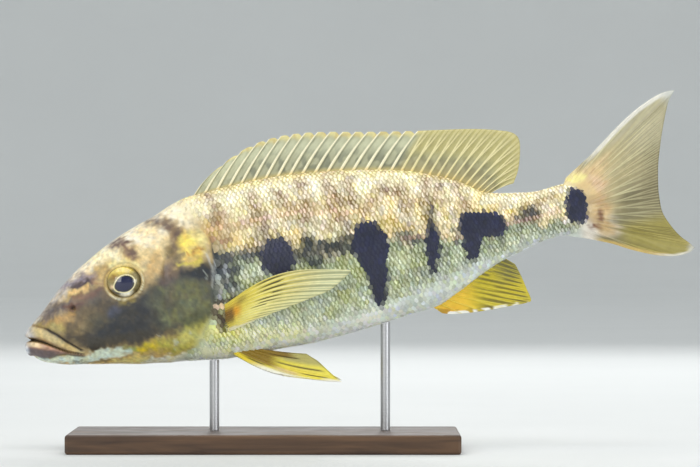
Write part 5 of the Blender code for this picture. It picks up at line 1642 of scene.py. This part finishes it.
# %% Paint and make it
x, z = flat[..., 0], flat[..., 1]
streak = fade((between_rays(ray) - 0.3) / 0.4) * fade((cloud(ray * 2, t * 4, 0, 1.4) - 0.25) / 0.3)
edge_dist = line_distance(x, z, ANAL_EDGE[:5])
dash = fade((cloud(x, 0, z, 2.2) - 0.42) / 0.1)
paint = layered(
    even((214, 196, 46), ray),
    ((246, 204, 60), fade((236 - x) / 14)),
    ((240, 176, 44), 0.8 * fade((226 - x) / 12) * fade((-z - 34) / 4)),
    ((96, 88, 34), 0.8 * streak * fade((x - 226) / 12) * (1 - fade((t - 0.9) / 0.1))),
    ((108, 106, 70), 0.75 * fade((z + 34) / 8) * fade((x - 238) / 12)),
    ((94, 80, 40), 0.4 * fade((2.6 - edge_dist) / 0.8) * (1 - dash)),
    ((252, 252, 244), 0.97 * fade((1.7 - edge_dist) / 0.7) * dash),
    ((236, 220, 96), 0.4 * fade((ridge - 0.3) / 0.4)))
make_fin("anal_fin", flat, 0.0, anal_halves, 0.15 * np.sin(2 * np.pi * ray) * t, paint)

# %% [markdown]
# ### The tail fin
#
# Its rays fan out from the round end of the tail stalk. They fork twice and make the edge a soft
# fringe. The base is fleshy and peach, the upper lobe pale with a white edge, the middle olive-grey
# and the lower lobe yellow with a white tip.

# %% Draw the edges of the tail fin
CAUDAL_UPPER_EDGE = ((291, 14.2), (299.8, 19), (306.1, 22.4), (313.9, 27.4), (324.9, 34.3),
                     (335.7, 40), (346.1, 43.9), (353, 45.2), (357.6, 44.8))
CAUDAL_REAR_EDGE = ((357.6, 44.8), (353.2, 39.8), (349.4, 32.9), (345.9, 25.3), (342.7, 17.2),
                    (339.5, 8.9), (337.3, -0.2), (336.2, -7), (335.7, -14.7), (337.8, -21.6),
                    (341.7, -29.1), (345.4, -33.8), (347.8, -37.2))
CAUDAL_LOWER_EDGE = ((347.8, -37.2), (344.2, -39), (336, -38.8), (326.4, -35.7), (315, -30),
                     (306.6, -24.9), (299.8, -21.6), (293, -18.5), (287, -16.2), (283.5, -14.4))

# %% Lay out the tail fin
CAUDAL_SHORT, CAUDAL_LONG, CAUDAL_SWING = 4, 16, math.radians(80)
CAUDAL_SUNK = (8.0, 2.2)
count = CAUDAL_LONG + 2 * CAUDAL_SHORT
first, last = CAUDAL_SHORT, count - 1 - CAUDAL_SHORT
ray, t = ray_grid(count, 22, 44)
top, bottom, _, _ = section(ROUND_START)
swing = between(CAUDAL_SWING, -CAUDAL_SWING, ray / (count - 1))
root = np.stack([ROUND_START + (ROUND_REACH - CAUDAL_SUNK[0]) * np.cos(swing),
                 (top + bottom) / 2 + ((top - bottom) / 2 - CAUDAL_SUNK[1]) * np.sin(swing)], axis=-1)
steps = (np.arange(CAUDAL_SHORT + 1) / CAUDAL_SHORT) ** 1.3
upper_edge = edge_reader(CAUDAL_UPPER_EDGE, steps)(np.clip(ray, 0, first))
rear_edge = edge_reader(CAUDAL_REAR_EDGE, np.linspace(0, 1, CAUDAL_LONG))(np.maximum(ray - first, 0))
lower_edge = edge_reader(CAUDAL_LOWER_EDGE, 1 - steps[::-1])(np.maximum(ray - last, 0))
tip = np.where((ray < first)[..., None], upper_edge,
               np.where((ray > last)[..., None], lower_edge, rear_edge))
flat = lay_out(root, tip, 0.0, t)

# %% Raise its forking rays
ridge = soft_ridge(ray, t, (0.28, 0.5), (0.24, 0.12)) * fade((t - 0.08) / 0.2)
outer = 1 - fade((np.minimum(ray, count - 1 - ray) - 2.5) / 2.0)
joints = 1 + 0.14 * np.sin(2 * np.pi * t * 40) * fade((t - 0.2) / 0.2)
caudal_halves = (0.2 + 2.8 * (1 - 0.45 * np.sin(swing) ** 2) * (1 - fade(t / 0.5))
                 + ridge * joints * between(0.55, 0.22, t) + 0.25 * outer * fade(t / 0.2) * (1 - t))
caudal_wave = 0.25 * np.sin(np.pi * ray * 0.5) * fade(t / 0.4)

# %% Paint its lobes and rays
x, z = flat[..., 0], flat[..., 1]
lower_lobe = fade((-z - 13) / 8) * fade((x - 306) / 12)
fringe = fade((ridge - 0.35) / 0.4)
gold = fringe * fade((cloud(ray, t, 0, 1.3) - 0.3) / 0.3)
umber = (1 - fringe) * fade((cloud(ray, t, t, 0.8) - 0.45) / 0.2)
ray_group = fade((cloud(ray * 0.9, t * 1.5, 0, 1.0) - 0.45) / 0.25) * bump(t - 0.5, 0.3)
dark_rays = fade((cloud(ray * 1.3, t, 0, 1.0) - 0.55) / 0.2) * fade(1 - np.abs(z) / 20)
paint = layered(
    even((130, 122, 86), ray),
    ((180, 172, 140), fade((z - 12) / 14)),
    ((194, 178, 130), 0.7 * fade((0.62 - t) / 0.25) * fade((z + 14) / 10)),
    ((160, 148, 74), lower_lobe),
    ((198, 190, 146), 0.5 * fringe * (1 - lower_lobe)),
    ((206, 190, 116), 0.7 * gold * lower_lobe),
    ((112, 102, 40), 0.5 * umber * lower_lobe),
    ((208, 194, 146), 0.6 * bump(np.hypot(x - 323, z - 12), 11)),
    ((220, 212, 166), 0.65 * ray_group * fade((ridge - 0.1) / 0.5) * fade((z + 16) / 8)),
    ((104, 98, 64), 0.6 * dark_rays * (1 - fringe) * fade((t - 0.3) / 0.3)),
    ((112, 98, 68), 0.35 * bump(np.hypot(x - 331, z), 9)))

# %% Paint its fleshy base
BASE_HALF = 2.5
base_shake = 0.12 * (cloud(ray * 1.2, t * 4, 0, 1.0) - 0.5)
speckle = cloud(x, 0, z, 1.5)
base = flesh_colour(x, BASE_HALF, z)
base = over(base, tone(198, 158, 112), 0.5 * fade((speckle - 0.5) / 0.3) * fade((x - 298) / 6))
fleshy = np.maximum(fade((0.43 + base_shake - t) / 0.2), fade((303 + 10 * base_shake - x) / 7))
paint = over(paint, base, fleshy)
paint = over(paint, tone(206, 176, 118), 0.6 * fleshy * fade((-z - 12) / 5) * fade((x - 297) / 8))

# %% Paint its edges and make it
upper_white = fade((2.6 - line_distance(x, z, CAUDAL_UPPER_EDGE)) / 1.3)
lower_gold = fade((2.2 - line_distance(x, z, CAUDAL_LOWER_EDGE)) / 1.6)
lower_white = fade((1.3 - line_distance(x, z, CAUDAL_LOWER_EDGE)) / 0.8)
paint = layered(
    paint,
    ((236, 232, 220), 0.95 * upper_white * fade((x - 298) / 14)),
    ((206, 208, 200), 0.8 * fade((10 - np.hypot(x - 357, z - 44)) / 7)),
    ((214, 184, 108), 0.85 * lower_gold * fade((x - 296) / 8) * fade((340 - x) / 12)),
    ((230, 226, 212), 0.9 * lower_white * fade((x - 322) / 14)),
    ((206, 206, 198), 0.8 * fade((5.5 - np.hypot(x - 348, z + 37.5)) / 4)))
make_fin("caudal_fin", flat, 0.0, caudal_halves, caudal_wave, paint)

# %% [markdown]
# ### The breast fins
#
# One on each side behind the gill opening. They leave the flank at a slant and lie back along it:
# clear yellow, orange at the base, with short dark streaks between the upper rays.

# %% Lay out the breast fins
PECTORAL_ROOT = np.array(((104.6, -6.8), (101.4, -21)))
PECTORAL_TIPS = ((165.5, -3.2), (171.3, -5.1), (168, -7.4), (159, -12), (148, -13.8),
                 (136.8, -15.4), (125.1, -16.9), (117, -18))
PECTORAL_RAYS, PECTORAL_BOW, PECTORAL_SPREAD = 14, 7.0, math.radians(9.0)
ROOT_SUNK, ROOT_FLARE = 2.5, 6.0
ray, t = ray_grid(PECTORAL_RAYS, 18, 40)
portion = ray / (PECTORAL_RAYS - 1)
root = between(PECTORAL_ROOT[0], PECTORAL_ROOT[1], portion[..., None])
tip = edge_reader(PECTORAL_TIPS, np.linspace(0, 1, PECTORAL_RAYS))(ray)
flat = lay_out(root, tip, PECTORAL_BOW * (1 - ray / PECTORAL_RAYS) ** 1.5, t)
run = np.linalg.norm(flat - root, axis=-1)
out = ROOT_FLARE * (1 - np.exp(-run / ROOT_FLARE)) + run * math.tan(PECTORAL_SPREAD)
pectoral_y = side_width(root[..., 0], root[..., 1]) + out - ROOT_SUNK
ridge = soft_ridge(ray, t, (0.35, 0.7), (0.2, 0.08))
pectoral_halves = half_thickness(t, 0.17, 0.9, 0.12, ridge, (0.42, 0.16))

# %% Paint their yellow and orange
paint = layered(
    even((232, 214, 84), ray),
    ((246, 236, 136), bump(portion - 0.62, 0.3) * bump(t - 0.42, 0.24)),
    ((216, 202, 128), fade((t - 0.35) / 0.4) * (1 - portion)),
    ((206, 210, 164), fade((t - 0.62) / 0.3)),
    ((255, 246, 160), 0.45 * fade((run - 12) / 10) * fade((portion - 0.25) / 0.35)),
    ((234, 162, 36), 0.85 * fade((11 - run) / 4) * bump(portion - 0.38, 0.2)),
    ((112, 86, 48), 0.85 * fade((6.2 - run) / 1.6) * bump(portion - 0.45, 0.26, 4)),
    ((240, 234, 206), 0.8 * fade((8 - run) / 3) * fade((portion - 0.8) / 0.1)))

# %% Paint their streaks, edges and rays, and make them
off = between_rays(ray)
row_of_streaks = fade((off - 0.5) / 0.25) * bump(t - between(0.42, 0.5, portion), 0.13, 4)
row_of_streaks = row_of_streaks * fade((0.62 - portion) / 0.15) * (cloud(ray, t * 3, 0, 0.9) > 0.35)
faint = fade((off - 0.5) / 0.35) * fade((t - 0.5) / 0.15)
dusky = fade((0.24 - t) / 0.1) * fade((t - 0.08) / 0.06) * bump(portion - 0.16, 0.1)
paint = layered(
    paint,
    ((60, 60, 32), 0.95 * row_of_streaks),
    ((146, 150, 108), 0.7 * faint),
    ((120, 92, 44), 0.6 * dusky),
    ((242, 238, 210), 0.9 * fade((portion - 0.86) / 0.1) * fade((t - 0.1) / 0.2)),
    ((248, 242, 186), 0.6 * fade((ridge - 0.3) / 0.4) * fade((t - 0.15) / 0.2)))
pectoral_wave = 0.2 * np.sin(2 * np.pi * ray * 0.5) * t
for side, label in SIDES:
    make_fin("pectoral_fin_" + label, flat, side * pectoral_y, pectoral_halves, pectoral_wave, paint)

# %% [markdown]
# ### The belly fins
#
# A pair under the chest, each with one spine and five soft rays. Bright yellow in front with a white
# leading edge, brown in the middle and thin and pale behind.

# %% Lay out the belly fins
PELVIC_ROOT = np.array(((102.4, 6.5), (112.6, 5.5)))
PELVIC_TIPS = np.array(((137.4, -52.9), (153.4, -59.3), (150, -56.2), (146.4, -50.7),
                        (143.4, -46.2), (139, -41.6)))
PELVIC_WAVE = 0.9
PELVIC_BOW, PELVIC_LEAN = -3.4, math.radians(16.0)


def belly_height(x, y):
    """Height of the body's underside at x and a distance y from the middle."""
    _, bottom, half, middle = section(x)
    power = section_power(x)
    return middle - (middle - bottom) * (1 - (y / half) ** power) ** (1 / power)


ray, t = ray_grid(len(PELVIC_TIPS), 34, 36)
portion = ray / (len(PELVIC_TIPS) - 1)
root_line = between(PELVIC_ROOT[0], PELVIC_ROOT[1], portion[..., None])
root_z = belly_height(root_line[..., 0], root_line[..., 1]) + between(0.7, ROOT_SUNK, fade(portion / 0.6))
root = np.stack([root_line[..., 0], root_z], axis=-1)
tip = np.stack([np.interp(ray, np.arange(len(PELVIC_TIPS)), PELVIC_TIPS[:, c]) for c in (0, 1)], axis=-1)
tip[..., 1] -= PELVIC_WAVE * bump(ray - 0.5, 0.4)
flat = lay_out(root, tip, PELVIC_BOW * (1 - ray / len(PELVIC_TIPS)), t)
pelvic_y = root_line[..., 1] + (root_z - flat[..., 1]) * math.tan(PELVIC_LEAN)
first_ray = 1 - fade(ray)
ridge = np.maximum(first_ray * bump(ray, 0.12, 3), soft_ridge(ray, t, (0.2, 0.5), (0.24, 0.12)))
pelvic_halves = half_thickness(t, 0.18, 0.8, 0.18, ridge, (0.62, 0.2))

# %% Paint and make them
gold = fade((portion - 0.16) / 0.12) * fade((0.5 + 0.3 * fade((portion - 0.7) / 0.2) - t) / 0.2)
paint = layered(
    even((246, 232, 86), ray),
    ((196, 186, 110), fade((portion - 0.55) / 0.2) * fade((t - 0.3) / 0.3)),
    ((148, 116, 30), 0.95 * gold),
    ((246, 216, 36), 0.9 * bump(portion - 0.1, 0.09) * fade((0.36 - t) / 0.1)),
    ((226, 198, 160), 0.85 * bump(portion - 0.24, 0.09) * bump(t - 0.5, 0.12, 4)),
    ((250, 226, 90), 0.6 * bump(portion - 0.4, 0.14) * bump(t - 0.68, 0.2)))
for line_ray, begins, stops in ((0.9, 0.06, 0.34), (1.55, 0.6, 0.95), (2.6, 0.36, 0.98), (4.1, 0.25, 0.8)):
    there = fade((t - begins) / 0.1) * fade((stops - t) / 0.1)
    paint = over(paint, tone(76, 60, 22), 0.9 * bump(ray - line_ray, 0.14) * there)
paint = layered(
    paint,
    ((254, 252, 236), fade((1.0 - ray) / 0.5) * bump(t - 0.52, 0.26, 4)),
    ((250, 246, 230), fade((t - 0.8) / 0.1) * fade((0.34 - portion) / 0.15)))
pelvic_wave = 0.2 * np.sin(np.pi * ray) * t
for side, label in SIDES:
    make_fin("pelvic_fin_" + label, flat, side * pelvic_y, pelvic_halves, pelvic_wave, paint)

# %% [markdown]
# ## The stand
#
# The base is a plain board of dark stained wood and the rods are brushed steel. Their solids have
# the right shapes, so they stay and only get finishes. Wood grain is noise stretched along the
# board, and brushing is noise stretched round the rod.

# %% Finish the board
def stretched_noise(tree, scale, detail, distortion=0.0):
    """Noise drawn out along the axes with the smaller scales."""
    place = add_node(tree, "ShaderNodeTexCoord")
    stretched = add_node(tree, "ShaderNodeMapping", Vector=place.outputs["Object"], Scale=scale)
    return add_node(tree, "ShaderNodeTexNoise", Vector=stretched.outputs["Vector"], Scale=1.0,
                    Detail=detail, Distortion=distortion)


wood, tree, shader = new_material("stained_wood")
bands = stretched_noise(tree, (14.0, 210.0, 210.0), 6.0, 0.6)
ramp = add_node(tree, "ShaderNodeValToRGB", Fac=bands.outputs["Fac"])
dark, light = ramp.color_ramp.elements
dark.position, light.position = 0.35, 0.68
dark.color = (*tone(58, 40, 28), 1)
light.color = (*tone(104, 76, 52), 1)
link_in(tree, ramp.outputs["Color"], shader.inputs["Base Color"])
link_in(tree, use_group(tree, patchy_sheen, Glossy=0.35, Dull=0.5, Lumps_per_metre=60.0),
        shader.inputs["Roughness"])
pores = add_node(tree, "ShaderNodeBump", Height=bands.outputs["Fac"], Strength=0.25, Distance=0.0002)
link_in(tree, pores.outputs["Normal"], shader.inputs["Normal"])

# %% Finish the rods
steel, tree, shader = new_material("brushed_steel")
brushing = stretched_noise(tree, (300.0, 300.0, 6000.0), 3.0)
shade = add_node(tree, "ShaderNodeValToRGB", Fac=brushing.outputs["Fac"])
dark, light = shade.color_ramp.elements
dark.color = (*tone(168, 168, 170), 1)
light.color = (*tone(206, 206, 208), 1)
link_in(tree, shade.outputs["Color"], shader.inputs["Base Color"])
shader.inputs["Metallic"].default_value = 1.0
spread = add_node(tree, "ShaderNodeMapRange", Value=brushing.outputs["Fac"], To_Min=0.22, To_Max=0.42)
link_in(tree, spread.outputs["Result"], shader.inputs["Roughness"])
lines = add_node(tree, "ShaderNodeBump", Height=brushing.outputs["Fac"], Strength=0.1, Distance=0.0001)
link_in(tree, lines.outputs["Normal"], shader.inputs["Normal"])

for name, finish in (("stand_base", wood), ("stand_rod_front", steel), ("stand_rod_rear", steel)):
    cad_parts[name].data.materials.clear()
    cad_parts[name].data.materials.append(finish)

# %% [markdown]
# ## Floor, wall and light
#
# The model stands in a plain pale room. Floor and wall are one bowl, turned round the model, so there
# is no corner to see from any side. A wide soft light hangs above, a weaker one stands on each side
# of the camera and one behind the model, as in a photographer's studio.

# %% Build the room
ROOM_PROFILE = ((0, 0), (2, 0), (5, 0), (6.2, 0.25), (7, 1), (7.3, 2.2), (7.3, 6))
ROOM_TURNS = 96
profile = smooth_path(ROOM_PROFILE[1:], 8)
profile = np.vstack([[0.02, 0.0], profile])
profile[:, 1] = np.maximum(profile[:, 1], 0.0)
room_turn = 2 * np.pi * np.arange(ROOM_TURNS) / ROOM_TURNS
room_points = np.stack([profile[:, :1] * np.cos(room_turn), profile[:, :1] * np.sin(room_turn),
                        profile[:, 1:] * np.ones(ROOM_TURNS)], axis=2)
index = np.arange(len(profile) * ROOM_TURNS).reshape(len(profile), ROOM_TURNS)
after = np.roll(index, -1, axis=1)
quads = np.stack([index[:-1], index[1:], after[1:], after[:-1]], axis=2).reshape(-1, 4)
corners = np.concatenate([quads.ravel(), index[0]])
room_mesh = mesh_from_arrays("room", room_points.reshape(-1, 3), corners,
                             np.concatenate([np.full(len(quads), 4), [ROOM_TURNS]]))
room = bpy.data.objects.new("room", room_mesh)
bpy.context.scene.collection.objects.link(room)
plaster, tree, shader = new_material("pale_plaster")
colour = use_group(tree, uneven_paint, Paint=(*tone(226, 228, 227), 1), Lumps_per_metre=3.0, Amount=0.03)
link_in(tree, colour, shader.inputs["Base Color"])
link_in(tree, use_group(tree, patchy_sheen, Glossy=0.6, Dull=0.75, Lumps_per_metre=8.0),
        shader.inputs["Roughness"])
room_mesh.materials.append(plaster)
room_mesh.shade_smooth()
room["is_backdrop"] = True


# %% Hang the lights
def add_light(name, place, target, size, power, colour=(1, 1, 1)):
    """A soft rectangular light that faces its target."""
    data = bpy.data.lights.new(name, "AREA")
    data.shape, data.size, data.size_y = "RECTANGLE", size[0], size[1]
    data.energy, data.color = power, colour
    light = bpy.data.objects.new(name, data)
    light.location = place
    light.rotation_euler = (Vector(target) - Vector(place)).to_track_quat("-Z", "Y").to_euler()
    bpy.context.scene.collection.objects.link(light)


MODEL_MIDDLE = (0.04, 0.0, 0.12)
add_light("top_light", (-0.2, -0.5, 1.5), MODEL_MIDDLE, (1.6, 1.0), 9.0, (1.0, 0.98, 0.95))
add_light("front_light", (-0.9, -1.7, 0.5), MODEL_MIDDLE, (1.0, 0.8), 7.0, (1.0, 0.99, 0.97))
add_light("side_light", (1.3, -1.2, 0.2), MODEL_MIDDLE, (0.9, 0.5), 5.0, (0.96, 0.98, 1.0))
add_light("back_light", (0.3, 1.5, 0.9), MODEL_MIDDLE, (1.2, 0.6), 8.0)
world = bpy.data.worlds.new("room_air")
world.use_nodes = True
air = world.node_tree.nodes["Background"].inputs
air["Color"].default_value = (0.95, 0.98, 1.0, 1)
air["Strength"].default_value = 0.8
bpy.context.scene.world = world

# %% [markdown]
# ## Print both sizes and finish
#
# The dressed model has to keep the size of its solids, so both boxes are written down side by side.

# %% Write the sizes and finish
dressed_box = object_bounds()
for label, box in (("solids", solid_box), ("dressed", dressed_box)):
    print(label, [[round(v * 1000, 1) for v in corner] for corner in box], "mm")
